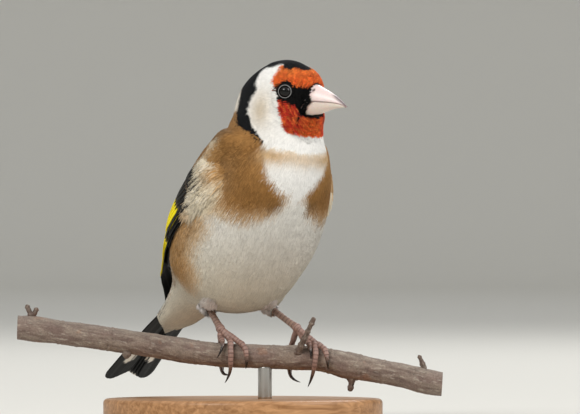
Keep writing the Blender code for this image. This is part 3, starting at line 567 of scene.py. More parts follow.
def painted(name, spread, roughness, bump, scale, **surface):
    """A finish whose colour is the piece's own markings, mottled finely, with a fine grain in the surface.

    scale is the grain's frequency in cycles per metre, so 1 / scale is its size.
    """
    material, tree, shader = new_material(name, **surface)
    markings_colour = add_node(tree, "ShaderNodeAttribute", {"attribute_name": "plumage"})
    place = add_node(tree, "ShaderNodeTexCoord")
    mottle = add_node(tree, "ShaderNodeTexNoise", None, {
        "Vector": place.outputs["Object"], "Scale": scale, "Detail": 3.0,
    })
    shade = add_node(tree, "ShaderNodeMapRange", None, {
        "Value": mottle.outputs["Fac"], "From Min": 0.25, "From Max": 0.75,
        "To Min": 1 - spread, "To Max": 1 + spread,
    })
    shaded(tree, shader, markings_colour.outputs["Color"], shade.outputs["Result"])
    rough = add_node(tree, "ShaderNodeMapRange", None, {
        "Value": mottle.outputs["Fac"], "To Min": roughness[0], "To Max": roughness[1],
    })
    tree.links.new(rough.outputs["Result"], shader.inputs["Roughness"])
    if bump:
        raise_surface(tree, shader, mottle.outputs["Fac"], bump, 0.1)
    return material


RIB_PITCH = 0.35                        # millimetres from rib to rib along a feather


def vane_material():
    """Flight feathers: keratin vanes, smooth and faintly glossy, ribbed by barbs.

    The ribs are coarser than real barbs, so that they show.
    """
    material, tree, shader = new_material("feather_vane", Roughness=0.5, Specular_IOR_Level=0.18)
    colour = add_node(tree, "ShaderNodeAttribute", {"attribute_name": "plumage"})
    grain = add_node(tree, "ShaderNodeAttribute", {"attribute_name": "grain"})
    turns = add_node(tree, "ShaderNodeMath", {"operation": "MULTIPLY"}, {
        0: grain.outputs["Fac"], 1: 2 * math.pi / RIB_PITCH,
    })
    ribs = add_node(tree, "ShaderNodeMath", {"operation": "SINE"}, {0: turns.outputs[0]})
    # The colour is painted darker in the grooves between the ribs and lighter along their crests: painted
    # shade and light that go with the relief.
    shade = add_node(tree, "ShaderNodeMapRange", None, {
        "Value": ribs.outputs[0], "From Min": -1.0, "To Min": 0.88, "To Max": 1.06,
    })
    shaded(tree, shader, colour.outputs["Color"], shade.outputs["Result"])
    raise_surface(tree, shader, ribs.outputs[0], 0.2, 0.04)
    return material


# Body feathers: soft barbs of keratin, dull, with a bloom of sheen where the light grazes them
FEATHER = painted(
    "body_feather", 0.04, (0.6, 0.8), 0, 900, Sheen_Weight=0.04, Sheen_Roughness=0.5, Specular_IOR_Level=0.12,
)
# Down and skin under the feathers: matt, with a soft grain
DOWN = painted("down", 0.12, (0.8, 0.95), 0.4, 1500, Specular_IOR_Level=0.1)
VANE = vane_material()
# Bill: horn over bone, smooth and waxy, a little light passing into its pale parts
BILL_HORN = painted(
    "bill_horn", 0.05, (0.26, 0.4), 0.15, 1800, Subsurface_Weight=0.12, Subsurface_Scale=0.6 * MM, IOR=1.54,
)
# Scaled skin of legs and toes: dry plates of horn, satin
SCALED_SKIN = painted("leg_scales", 0.12, (0.38, 0.6), 0.35, 2500, IOR=1.5)
# Claws: dense dark horn, polished by use
CLAW_HORN = painted("claw_horn", 0.1, (0.2, 0.34), 0.1, 1500, IOR=1.55)
# Eye: wet cornea over a brown iris, mirror smooth
EYE = painted(
    "eye", 0.05, (0.3, 0.4), 0, 4000,
    Specular_IOR_Level=0.0, Coat_Weight=1.0, Coat_Roughness=0.0, Coat_IOR=1.38,
)
# Rim of the eyelids: bare grey skin with beads
LID_SKIN = painted("lid_skin", 0.1, (0.6, 0.75), 0.3, 3500, Specular_IOR_Level=0.2)
# Bark of a young fruit-tree twig: dry, matt, pitted and flecked
BARK = painted("bark", 0.28, (0.78, 0.95), 0.8, 2600, Specular_IOR_Level=0.25)


# Eyes

EYE_RADIUS = 2.15
EYE_TURN = 29                           # how far the eyes look ahead of straight out
EYE_AHEAD, EYE_OUT, EYE_HEIGHT = 6.1, 6.8, 89.2


def eye_place(side):
    """Centre of an eyeball and the way it looks. side is 1 for left and -1 for right."""
    side = np.asarray(side, float)
    left, forward = turned(HEAD_YAW)
    turn = math.radians(EYE_TURN)
    looks = left * (side * math.cos(turn))[..., None] + forward * math.sin(turn)
    return head_point(EYE_AHEAD, EYE_OUT * side, EYE_HEIGHT), looks


def round_eye(looks, turn):
    """Directions round the way that an eye looks, at these angles."""
    across = unit(np.cross(looks, (0, 0, 1.0)))
    third = np.cross(looks, across)
    return across[None] * np.cos(turn)[:, None] + third[None] * np.sin(turn)[:, None]


# Skin

ROWS, COLUMNS = 250, 180
CAP_SHARES = (0.25, 0.5, 0.75, 0.93)    # rings that close the skin's end towards the coverts' pole
SKIN_SHADE = 0.55                       # the skin shows between the feathers only, as their shade
SKIN_PATCH = (0.02, 0.1, 0.98, 0.98)    # the skin's place on its unwrap
# The coat's depth at places
COAT_DEPTHS = ((-1, 0, 6, 8, 9.5, 11, 15, 17, 19), (0.45, 0.5, 0.55, 0.8, 1.2, 1.4, 1.4, 1.0, 0.4))


# The heels, and where the toes join: across the view and up
HEELS = {"right": np.array((-6.2, 9.6, 32.0)), "left": np.array((7.9, 0.5, 31.2))}
TOE_JOINTS = {"right": (-6.0, 24.9), "left": (14.8, 25.2)}


def coat_depth(place):
    """How deep the skin lies under the coat's surface."""
    return np.interp(place, *COAT_DEPTHS)


def carve(points, normals):
    """Sinks the skin round the lower edge of the bill's root and behind the eyeballs."""
    ahead, out, z = head_frame(points)
    hollow = 1.3 * np.exp(-((z - 84.0) / 2.0) ** 2 - ((np.abs(out) - 3.4) / 2.0) ** 2) * (ahead > 6)
    points = points - normals * hollow[..., None]
    for side in BOTH_SIDES:
        centre, looks = eye_place(side)
        offset = points - centre
        depth = offset @ looks
        reach = np.linalg.norm(offset - depth[..., None] * looks, axis=-1)
        inside = (reach < EYE_RADIUS + 0.05) & (np.abs(depth) < 4)
        sunk = -np.sqrt(np.maximum((EYE_RADIUS + 0.1) ** 2 - reach ** 2, 0))
        points = np.where(inside[..., None], points + looks * np.minimum(sunk - depth, 0)[..., None], points)
    return points


def make_skin():
    """One closed skin from crown to tail coverts, inside the coat by its depth, and the feathered shins."""
    places = np.linspace(BODY_START, BODY_END, ROWS)
    degrees = np.arange(COLUMNS) * 360 / COLUMNS
    place, degree = np.meshgrid(places, degrees, indexing="ij")
    outer = body_point(place, degree)
    normals = body_slopes(place, degree)[2]
    skin = carve(outer - normals * coat_depth(place)[..., None], normals)
    caps = np.stack([skin[-1] + (COVERT_POLE - skin[-1]) * share for share in CAP_SHARES])
    tones = markings(outer, place, degree)
    tones = np.concatenate([tones, np.repeat(tones[-1:], len(CAP_SHARES), 0)]) * SKIN_SHADE
    shape = Shape()
    crown = head_point(CROWN_POLE[0], 0, CROWN_POLE[1] - 0.45)
    add_rings(shape, np.concatenate([skin, caps]), tones, SKIN_PATCH, crown, COVERT_POLE)
    for number, side in enumerate(HEELS):
        left = 0.1 + 0.4 * number
        # The shins' skin is painted darker than their feathers: painted shade between them.
        add_rings(shape, shin_rings(side, 24, 20), WARM_WHITE * 0.6, (left, 0.01, left + 0.3, 0.09))
    return shape


def shin_path(side, count):
    """The middle line of a feathered shin."""
    heel, joint = HEELS[side], toe_joint(side)
    shin = unit(joint - heel)
    above = [heel + (0, -3.5, 8.0), heel + (0, -1.6, 3.6)]
    return read_along(above + [heel + shin * reach for reach in (-0.8, 1.6, 3.2)], count)


def shin_rings(side, levels, sides):
    """The feathered shin's skin, from the belly to a little past the heel."""
    path = shin_path(side, levels)
    radii = read_along((3.4, 2.7, 1.75, 1.35, 1.0), levels)
    return path[:, None] + rings_round(path, circle(sides)) * radii[:, None, None]


# Twig and toes stand in the plane that the camera faces

TWIG_TURN, TWIG_DEPTH, TWIG_RADIUS = -30, -4.5, 3.35
# The line of the twig's middle: how far across the view, and how high
TWIG_LINE = np.array((
    (-61.2, 25.4), (-41.6, 23.0), (-25.3, 20.6), (-9.0, 18.2), (1.9, 17.6),
    (10.6, 17.3), (20.1, 16.9), (27.2, 15.3), (42.7, 12.5), (54.1, 10.0),
))
VIEW_RIGHT = np.array((math.cos(math.radians(TWIG_TURN)), math.sin(math.radians(TWIG_TURN)), 0))
VIEW_AWAY = np.array((-math.sin(math.radians(TWIG_TURN)), math.cos(math.radians(TWIG_TURN)), 0))


def view_point(across, height, depth=0.0):
    """Points from how far they are across the camera's view, up, and behind the twig's plane."""
    across, height, depth = np.broadcast_arrays(np.asarray(across, float), height, depth)
    flat = across[..., None] * VIEW_RIGHT + (TWIG_DEPTH + depth)[..., None] * VIEW_AWAY
    return flat + rows(0 * across, 0 * across, height)


def toe_joint(side):
    return view_point(*TOE_JOINTS[side])


def twig_centre(across):
    """The twig's middle where it is this far across the view."""
    across = np.asarray(across, float)
    reaches, heights = TWIG_LINE.T
    number = np.clip(np.searchsorted(reaches, across, side="right") - 1, 0, len(reaches) - 2)
    share = (across - reaches[number]) / (reaches[number + 1] - reaches[number])
    return view_point(across, between(heights, number + share))


def round_twig(across, degrees, reach):
    """Points round the twig, degrees from its top towards the viewer."""
    across, degrees, reach = np.broadcast_arrays(np.asarray(across, float), degrees, reach)
    along = unit(twig_centre(across + 0.8) - twig_centre(across - 0.8))
    front = unit(-VIEW_AWAY - along * (along @ -VIEW_AWAY)[..., None])
    up = np.cross(along, front)
    up = up * np.where(up[..., 2:] > 0, 1, -1)
    angle = np.radians(degrees)[..., None]
    return twig_centre(across) + (up * np.cos(angle) + front * np.sin(angle)) * reach[..., None]


# Coat

WING_BEND, WING_TIP = 10.1, 20.0
# The folded wing's lower and upper edge in degrees from the back, at shares of its length
WING_EDGES = np.array((
    (0.00, 92, 60), (0.06, 101, 50), (0.12, 99, 45), (0.20, 90, 39), (0.35, 80, 30), (0.50, 74, 21),
    (0.60, 72, 16), (0.70, 69, 12), (0.75, 60, 10), (0.80, 46, 8), (0.85, 27, 6), (0.90, 19, 4),
    (1.00, 10, 2),
))


def wing_edges(share):
    shares, lower, upper = WING_EDGES.T
    return np.interp(share, shares, lower), np.interp(share, shares, upper)


def wing_place(share):
    return WING_BEND + (WING_TIP - WING_BEND) * share


def wing_share(place):
    return (place - WING_BEND) / (WING_TIP - WING_BEND)


def under_wing(place, degrees, margin):
    """Where a wing covers the body, away from its edges by a margin in millimetres."""
    share = wing_share(place)
    lower, upper = wing_edges(share)
    side = np.abs(signed(degrees))
    return (share > 0.01 + margin / 60) & (side < lower - margin * 3) & (side > upper + margin * 3)


def from_bill(points):
    return points - head_point(BILL_BASE[0], 0, BILL_BASE[1])


def reach_of(points):
    """How far points are from the bill."""
    return np.linalg.norm(from_bill(points), axis=-1)


def feather_size(reach):
    """Length and strand width of the tufts by their distance from the bill. They are smallest on the face."""
    length = np.interp(reach, (4, 7, 11, 14, 18, 23, 30, 40), (0.8, 1.05, 1.3, 1.7, 2.3, 3.2, 4.4, 5.2))
    width = np.interp(reach, (4, 7, 11, 14, 18, 23, 30, 45), (0.22, 0.26, 0.28, 0.24, 0.22, 0.2, 0.2, 0.22))
    return length, width


def lie(points, normals, tailward):
    """The way the coat lies: away from the bill on the head, and towards the tail behind it."""
    away = from_bill(points)
    share = step_curve(reach_of(points), 13, 24)[:, None]
    away = unit(away - normals * dot(away, normals)[:, None])
    way = away * (1 - share) + tailward * share
    return unit(way - normals * dot(way, normals)[:, None])


# Steps of the low-discrepancy sequence in two dimensions
FIRST_STEP, SECOND_STEP = 0.7548776662466927, 0.5698402909980532


def scatter(place_range, density):
    """Evenly spread places on the body, as many to a square millimetre as density says."""
    places = np.linspace(*place_range, 340)
    place, degree = np.meshgrid(places, np.linspace(-180, 180, 361), indexing="ij")
    point = body_point(place, degree)
    area = np.linalg.norm(np.cross(np.gradient(point, axis=0), np.gradient(point, axis=1)), axis=-1)
    weight = area * density(point, place, degree)
    by_row = np.concatenate([[0], np.cumsum(weight.sum(1))])
    count = int(by_row[-1])
    number = np.arange(count)
    first, second = ((number + 0.5) * FIRST_STEP) % 1, ((number + 0.5) * SECOND_STEP) % 1
    row = np.interp(first * by_row[-1], by_row, np.arange(len(by_row)) - 0.5)
    row = np.clip(row, 0, len(places) - 1)
    low = np.minimum(row.astype(int), len(places) - 2)
    share = (row - low)[:, None]
    line = weight[low] * (1 - share) + weight[low + 1] * share + 1e-9
    summed = np.cumsum(line, axis=1)
    target = second * summed[:, -1]
    column = np.array([np.searchsorted(summed[i], target[i]) for i in number])
    before = np.where(column > 0, summed[number, column - 1], 0)
    part = (target - before) / line[number, column]
    return between(places, row), -180.5 + column + part


def on_surface(tree, points):
    """The nearest point of the skin and its normal, for each point."""
    found, normals = np.empty_like(points), np.empty_like(points)
    for number, point in enumerate(points):
        found[number], normals[number], _, _ = tree.find_nearest(Vector(point))
    return found, normals


def patch_corners(patches, local):
    """Places on the unwrap from places within each patch, which is its corner and its two sizes."""
    return patches[:, None, :2] + np.array(local)[None] * patches[:, None, 2:]


def add_copies(shape, points, quads, triangles, corners, tones, facing):
    """Adds as many copies of a small mesh as points has rows, each with its own points, tones and normals."""
    count, size = points.shape[:2]
    offset = (np.arange(count) * size)[:, None, None]
    points, tones, facing = (values.reshape(-1, 3) for values in (points, tones, facing))
    all_quads, all_triangles = quads[None] + offset, triangles[None] + offset
    shape.add(points, all_quads, all_triangles, corners[:, quads], corners[:, triangles], tones, None, facing)


# A blade's levels: share of its length, share of its width, height, and share of its tip's tone
BLADE_LEVELS = (
    (0.0, 0.55, -0.1, 0.0), (0.38, 1.0, 0.5, 0.22), (0.74, 0.78, 0.82, 0.85), (1.0, 0.0, 1.0, 1.0),
)
BLADE_SIDE = ((0, 1, 4, 3), (1, 2, 5, 4), (2, 0, 3, 5))
BLADE_QUADS = np.array([[level + corner for corner in side] for level in (0, 3) for side in BLADE_SIDE])
BLADE_ENDS = np.array(((6, 7, 9), (7, 8, 9), (8, 6, 9), (0, 2, 1)))
BLADE_PLACES = [(x, y) for y in (0.1, 0.4, 0.7) for x in (0.05, 0.95, 0.5)] + [(0.5, 1.0)]


def add_blades(shape, tree, roots, normals, ways, length, width, rise, base_tone, tip_tone, patches):
    """A flat tapered blade with a low ridge for each root, laid on the skin along its way."""
    spine, ups = [], []
    for share, _, high, _ in BLADE_LEVELS:
        spot, up = on_surface(tree, roots + ways * (length * share)[:, None]) if share else (roots, normals)
        spine.append(spot + up * (rise * high)[:, None])
        ups.append(up)
    rings, tones, facing = [], [], []
    for number, (_, wide, _, tipped) in enumerate(BLADE_LEVELS[:-1]):
        up = ups[number]
        out = unit(np.cross(up, unit(spine[number + 1] - spine[max(number - 1, 0)])))
        half = (width * wide / 2)[:, None]
        first, second = spine[number] - out * half, spine[number] + out * half
        rings += [first, second, spine[number] + up * half * 0.7]
        tones += [base_tone * (1 - tipped) + tip_tone * tipped] * 3
        side = unit(second - first)
        facing += [unit(up - side * 0.55), unit(up + side * 0.55), up]
    points = np.stack(rings + [spine[3]], 1)
    # The very tip is painted lighter still: a painted highlight.
    tones = np.stack(tones + [(tip_tone * 1.2).clip(0, 0.95)], 1)
    facing = np.stack(facing + [ups[3]], 1)
    corners = patch_corners(patches, BLADE_PLACES)
    add_copies(shape, points, BLADE_QUADS, BLADE_ENDS, corners, tones, facing)


STRAND_FACES = np.array(((0, 2, 3), (2, 4, 3), (4, 1, 3), (1, 0, 3), (0, 1, 4), (0, 4, 2)))
STRAND_PLACES = ((0.5, 0.02), (0.05, 0.4), (0.95, 0.4), (0.5, 0.45), (0.5, 0.98))


def add_strands(shape, start, middle, end, up, width, base_tone, tip_tone, patches):
    """A slender strand for each start, middle and end, pointed at both ends, lit as part of its coat."""
    side = unit(np.cross(up, end - start))
    out = side * (width / 2)[:, None]
    points = np.stack([start, middle + out, middle - out, middle + up * (width * 0.2)[:, None], end], 1)
    half_tone = base_tone * 0.3 + tip_tone * 0.7
    tones = np.stack([base_tone, half_tone, half_tone, half_tone, tip_tone], 1)
    facing = np.stack([up, unit(up + side * 0.4), unit(up - side * 0.4), up, up], 1)
    corners = patch_corners(patches, STRAND_PLACES)
    add_copies(shape, points, np.empty((0, 4), int), STRAND_FACES, corners, tones, facing)


def unwrap(place, degrees):
    """Where a place of the body is on the skin's unwrap."""
    around = (degrees % 360) / 360
    share = (place - BODY_START) / (BODY_END - BODY_START)
    return np.stack([0.02 + 0.96 * around, 0.1 + 0.88 * (0.02 + 0.96 * share)], -1)


PATCH, PATCH_FILLED = 0.003, 0.0028     # a tuft's patch on the unwrap, and what its strands fill of it


def reddened(tints, red):
    """Face feathers vary more than others: some are deeper red, and some more fiery."""
    count = len(tints)
    deep = (DRAW.uniform(-0.3, 0.65, count).clip(0) * red)[:, None]
    fiery = (DRAW.uniform(-0.5, 0.55, count).clip(0) * red)[:, None]
    tints = tints * (1 - deep) + DEEP_RED * deep
    return tints * (1 - fiery) + FIERY_ORANGE * fiery


def add_tufts(
    shape, tree, place, degrees, strands, ways=None, length=None, rise=None, tint=None, fan=None, short=False,
):
    """Tufts rooted at places of the body, each of a few strands that fan a little. The short ones are fuller.

    A tuft takes the marking of the place where it shows, some way from its root.
    """
    count = len(place)
    outer = body_point(place, degrees)
    tailward, _, normals = body_slopes(place, degrees)
    roots, skin_normals = on_surface(tree, outer - normals * coat_depth(place)[:, None])
    reach = reach_of(outer)
    size, width = feather_size(reach)
    length = size if length is None else length
    rise = coat_depth(place) * 0.92 + loft(place, degrees) if rise is None else rise
    ways = lie(outer, normals, tailward) if ways is None else ways
    swirl = np.array([noise.noise(p) for p in outer / 4.0]) * np.interp(reach, (12, 24), (0.1, 0.22))
    ways = unit(ways + np.cross(normals, ways) * swirl[:, None])
    # The marking where the tuft shows, more scattered away from the face
    blur = np.interp(reach, (11, 16, 22, 26, 32), (0.1, 0.2, 0.3, 0.6, 0.95))[:, None]
    astray = DRAW.normal(0, 1, outer.shape) * blur
    shown, turned_to = moved_on(place, degrees, ways * (length * 0.78)[:, None] + astray)
    tints = markings(body_point(shown, turned_to), shown, turned_to) if tint is None else tint
    face = np.clip((14.5 - reach) / 2.5, 0, 1)
    red = (tints[:, 0] > 0.25) & (tints[:, 1] < tints[:, 0] * 0.45) & (reach < 20)
    tints = reddened(tints, red)
    spread = 0.035 + 0.13 * (1 - tints.mean(1)) + 0.1 * red
    # On the face the roots are painted much darker: the painted shade in the gaps between its small feathers.
    gap_shade = face * (1 - np.clip((tints.min(1) - 0.25) / 0.3, 0, 1))
    width = width * (1 + 0.25 * red * face)
    rise = rise * (1 + red * face * DRAW.uniform(-0.1, 0.35, count))
    tints = tints * (1 + DRAW.normal(0, 1, count) * spread)[:, None]
    spots = unwrap(place, degrees) - PATCH / 2
    fan = np.interp(reach, (12, 20, 30), (0.2, 0.12, 0.08)) if fan is None else fan
    across = np.cross(normals, ways)
    for strand in range(strands):
        from_middle = strand - (strands - 1) / 2
        lean = from_middle * fan + DRAW.normal(0, 0.04, count)
        way = unit(ways * np.cos(lean)[:, None] + across * np.sin(lean)[:, None])
        start = roots + across * (from_middle * width * 0.8)[:, None]
        long = length * DRAW.uniform(0.85, 1.1, count)
        high = rise * DRAW.uniform(0.97, 1.03, count)
        tone = tints * (1 + DRAW.normal(0, 0.05, count))[:, None]
        # Each strand is painted darker at its root: painted shade where the tufts overlap it, much deeper on
        # the face.
        base = tone * (0.84 - 0.72 * gap_shade[:, None])
        patches = rows(spots[:, 0] + PATCH * strand / strands, spots[:, 1], PATCH_FILLED / strands, PATCH)
        if short:
            add_blades(shape, tree, start, skin_normals, way, long, width, high, base, tone, patches)
            continue
        middle, up = on_surface(tree, start + way * (long * 0.4)[:, None])
        end, end_up = on_surface(tree, start + way * long[:, None])
        middle, end = middle + up * (high * 0.86)[:, None], end + end_up * high[:, None]
        add_strands(shape, start - skin_normals * 0.1, middle, end, up, width, base, tone, patches)


# How far the nape's coat stands out, at places
LOFT = (
    (5.0, 5.6, 6.2, 7.2, 8.2, 8.9, 9.6, 10.4, 14.0, 15.5, 17.0),
    (0, 0.3, 1.1, 1.7, 1.9, 1.65, 1.3, 1.05, 0.9, 0.5, 0),
)


def loft(place, degrees):
    """How far the coat stands out more than elsewhere: on the nape and the sides of the neck."""
    side = np.abs(signed(degrees))
    neck = step_curve(side, 55, 90) * (1 - step_curve(side, 95, 130))
    neck *= 1.8 * np.exp(-(place - 8.5) ** 2)
    return np.interp(place, *LOFT) * (1 - step_curve(side, 58, 95)) + neck


def grown(point, place, degree):
    """1 where feathers grow: not on the eyes, under the bill's root, or under the wings."""
    ahead, out, z = head_frame(point)
    eyes = np.minimum(*(np.linalg.norm(point - eye_place(side)[0], axis=-1) for side in BOTH_SIDES))
    grows = (eyes > 2.5).astype(float)
    bill = (ahead > 8) & ((out / 3.2) ** 2 + ((z - 86.9) / 3.6) ** 2 < 1)
    grows[bill] = 0
    grows[under_wing(place, degree, 1.6)] = 0
    return grows


def face_density(point, place, degree):
    return grown(point, place, degree) * 3.4 * (1 - step_curve(reach_of(point), 13.2, 15.0))


def coat_density(point, place, degree):
    """Strands overlap the face's blades in a ring, and get sparser as they get longer."""
    reach = reach_of(point)
    eased = np.interp(reach, (12, 16, 20, 30, 45), (7.8, 7.4, 5.6, 4.3, 3.9))
    return grown(point, place, degree) * eased * step_curve(reach, 10.8, 12.4)


def make_coat(tree):
    """The tufts of the face, head, neck and body, as joined meshes."""
    face = Shape()
    add_tufts(face, tree, *scatter((-0.9, 9.0), face_density), 3, short=True)
    pieces = [("face_feathers", face)]
    place, degrees = scatter((-0.95, 18.9), coat_density)
    reach = reach_of(body_point(place, degrees))
    left = signed(degrees) > 0
    regions = np.select([reach < 20, reach < 29, place < 12.4, place < 14.6], [0, 1, 2, 3], 4)
    for number, name in enumerate(("cheek_and_crown", "neck", "breast", "belly", "vent")):
        for side, chosen in (("left", left), ("right", ~left)):
            shape = Shape()
            here = (regions == number) & chosen
            add_tufts(shape, tree, place[here], degrees[here], 4)
            pieces.append((f"{name}_feathers_{side}", shape))
    return pieces


def make_wing_fringes(tree, side):
    """Soft feathers over a wing's edges: pale wisps of the breast's side, flanks, scapulars and mantle."""
    shape = Shape()

    def fringe(share, degrees, sideways, length, rise, tint=None):
        place = wing_place(share)
        tailward, leftward, _ = body_slopes(place, side * degrees)
        ways = unit(tailward + leftward * (side * sideways)[:, None])
        add_tufts(shape, tree, place, side * degrees, 4, ways, length, rise, tint, 0.1)

    # Pale wisps of the breast's side, over the front of the wing
    count = 2400
    shown = DRAW.uniform(9.4, 12.3, count)
    outer, inner = wisp_edges(shown)
    lower, _ = wing_edges(np.maximum(wing_share(shown), 0.08))
    angle = outer + DRAW.uniform(0, 1, count) ** 1.3 * (np.minimum(inner, lower + 9) - outer).clip(6)
    place = shown - 0.55
    # The coat is pressed together on the side that the head turns to
    bunched = 0.25 if side > 0 else 0.0
    on_wing = step_curve(shown, 9.9 - bunched, 10.5 - bunched / 2) * (1 - step_curve(angle - lower, -5, 6))
    ragged = DRAW.uniform(0, 0.45, count) * (0.15 + 0.85 * on_wing) * (1 + bunched)
    high = coat_depth(place) * 0.93 + (1.15 + 0.6 * bunched) * on_wing + ragged
    cream = wisp_tone(shown, angle, DRAW.uniform(-0.4, 1.4, count))
    inward = (angle - outer) / (inner - outer)
    cream = blend(cream, WISP_WHITE, DRAW.uniform(-0.8, 0.9, count) * (1 - inward))
    cream = blend(cream, BROWN, step_curve(inward, 0.45, 1.0) * (1 - step_curve(shown, 10.2, 10.7)) * 0.9)
    cream = blend(cream, FLANK_TAN, step_curve(shown, 11.9, 12.3) * 0.6)
    sideways, length = DRAW.uniform(-0.55, -0.1, count), DRAW.uniform(4.2, 7.2, count)
    fringe(wing_share(place), angle + 6, sideways, length, high, cream)
    # Flank feathers that tuck round the wing's lower edge
    count = 900
    share = DRAW.uniform(0.14, 0.6, count)
    high = 1.2 + DRAW.uniform(0.0, 0.3, count)
    degrees = wing_edges(share)[0] + DRAW.uniform(3.0, 10.0, count)
    fringe(share, degrees, DRAW.uniform(-0.15, 0, count), DRAW.uniform(4, 6, count), high)
    # Scapulars, over the top of the wing
    count = 2400
    share = DRAW.uniform(-0.12, 0.13, count)
    _, upper = wing_edges(share)
    limit = wisp_edges(wing_place(share) + 0.45)[0] - 7
    degrees = upper + DRAW.uniform(0, 1, count) * (limit - upper + 8) - 8
    brown = blend(MANTLE_BROWN, BROWN, DRAW.uniform(0, 0.8, count))
    high = 2.3 + DRAW.uniform(-0.1, 0.3, count)
    fringe(share, degrees, DRAW.uniform(0.1, 0.4, count), DRAW.uniform(4.5, 6.5, count), high, brown)
    # Mantle feathers, over the wing's upper edge
    count = 900
    share = DRAW.uniform(0.1, 0.5, count)
    high = 1.4 + wing_height(share, 1.0) + DRAW.uniform(0.5, 1.0, count)
    brown = blend(MANTLE_BROWN, BROWN, DRAW.uniform(0, 0.6, count))
    degrees = wing_edges(share)[1] - DRAW.uniform(0, 8, count)
    fringe(share, degrees, DRAW.uniform(0.15, 0.5, count), DRAW.uniform(4, 5.5, count), high, brown)
    return shape


SHIN_LEVELS, SHIN_SIDES = 60, 48
SHIN_TUFTS = (
    # side, strands, the level they start from, share of their length, fluffed tufts, their place and degrees
    ("right", 1500, 31, 1.0, 280, 15.5, -141.0),
    ("left", 1100, 12, 0.55, 30, 14.85, 160.0),
)


def make_shin_tufts(tree):
    """The pale, fluffed feathers that end the shin above the bare leg."""
    shape = Shape()
    for number, (side, count, from_level, long, fluffed, at_place, at_degrees) in enumerate(SHIN_TUFTS):
        rings, path = shin_rings(side, SHIN_LEVELS, SHIN_SIDES), shin_path(side, SHIN_LEVELS)
        level = DRAW.integers(from_level, 53, count)
        turn = DRAW.integers(0, SHIN_SIDES, count)
        roots = rings[level, turn]
        normals = unit(roots - path[level])
        ways = unit(unit(path[level + 4] - path[level]) + DRAW.normal(0, 0.16, roots.shape))
        length = np.interp(level, (0, SHIN_LEVELS), (3.0, 1.7)) * DRAW.uniform(0.8, 1.15, count) * long
        tone = SHIN_WHITE * (1 + DRAW.normal(0, 0.05, count))[:, None]
        around, down = turn / SHIN_SIDES, level / SHIN_LEVELS
        spots = rows(0.1 + 0.4 * number + 0.3 * around, 0.01 + 0.08 * down, PATCH, PATCH)
        rise = normals * DRAW.uniform(0.2, 0.75, count)[:, None]
        middle = roots + ways * (length * 0.45)[:, None] + rise
        end = roots + ways * length[:, None] + rise * 0.9
        width = np.full(count, 0.18)
        # The strands are painted darker at the root: painted shade where they overlap.
        add_strands(shape, roots - normals * 0.1, middle, end, normals, width, tone * 0.85, tone, spots)
        # The last of them, fluffed out in front of the belly
        place = at_place + DRAW.normal(0, 0.17, fluffed)
        degrees = at_degrees + DRAW.normal(0, 2.0, fluffed)
        tailward, _, normals = body_slopes(place, degrees)
        to_heel = unit(HEELS[side] - body_point(place, degrees))
        ways = unit(to_heel * 0.7 + tailward * 0.6 + normals * 0.1)
        tone = HEEL_WHITE * (1 + DRAW.normal(0, 0.05, fluffed))[:, None]
        rise = coat_depth(place) + DRAW.uniform(-0.3, 1.1, fluffed)
        add_tufts(shape, tree, place, degrees, 3, ways, DRAW.uniform(1.8, 3.4, fluffed), rise, tone, 0.35)
    return shape


# Long feathers

VANE_THICKNESS = 0.14
ACROSS_VANE = np.linspace(-1, 1, 9)


def add_vane(shape, centre, normals, half_width, paint, patch, camber, lean):
    """A feather with a raised shaft. centre and normals run from root to tip, and paint gives its colours."""
    share = np.linspace(0, 1, len(centre))[:, None]
    side = ACROSS_VANE[None]
    out = unit(np.cross(normals, unit(np.gradient(centre, axis=0))))
    half = half_width[:, None]
    bend = np.minimum(half / 2, 1)
    height = camber * (1 - side ** 2) * bend - lean * side * bend
    shaft = np.where(np.abs(side) < 0.01, 0.07, 0) * (1 - share ** 3)
    flat = centre[:, None] + out[:, None] * (side * half)[..., None]
    top = flat + normals[:, None] * (height + shaft + VANE_THICKNESS / 2)[..., None]
    under = flat + normals[:, None] * (height - VANE_THICKNESS / 2)[..., None]
    rings = np.concatenate([top, under[:, ::-1]], 1)
    across = np.broadcast_to(np.concatenate([ACROSS_VANE, ACROSS_VANE[::-1]]), rings.shape[:2])
    along = np.broadcast_to(share, across.shape)
    colours = paint(along, across)
    colours = np.where((np.abs(across) < 0.01)[..., None], colours * 0.5 + 0.02, colours)
    reach = np.linalg.norm(np.diff(centre, axis=0), axis=1).sum()
    grain = along * reach + np.abs(across) * half * 0.9
    add_rings(shape, rings, colours, patch, grain=grain)


def blade_outline(share, tip, root=0.6, point=0.12):
    """Half width along a feather as a share of its widest: it swells early, and rounds off at the tip."""
    swell = root + (1 - root) * step_curve(share, 0, 0.35)
    close = np.clip((1 - share) / tip, 0, 1)
    return swell * (point + (1 - point) * np.sqrt(np.clip(1 - (1 - close) ** 2, 0, 1)))


# How far the folded wing's feathers stand off the body along it, and what is left of that across it
WING_FULLNESS = (
    (0, 0.15, 0.3, 0.5, 0.6, 0.7, 0.75, 0.8, 0.85, 1),
    (0.4, 0.4, 0.8, 2.0, 3.1, 4.0, 3.4, 2.1, 1.3, 0.8),
)
WING_ACROSS = ((-0.05, 0, 0.06, 0.14, 0.3, 0.6, 0.8, 1), (0.1, 0.15, 0.45, 0.75, 1, 0.95, 0.7, 0.35))


def wing_height(share, across):
    """How far a folded wing stands off the body."""
    return np.interp(share, *WING_FULLNESS) * np.interp(across, *WING_ACROSS)


def wing_surface(side, share, across, lift):
    """Points and normals of the folded wing's surface. across runs from its lower edge to its upper one."""
    lower, upper = wing_edges(share)
    place, degrees = wing_place(share), side * (lower + (upper - lower) * across)
    normals = body_slopes(place, degrees)[2]
    height = lift + wing_height(share, across)
    return body_point(place, degrees) + normals * height[..., None], normals


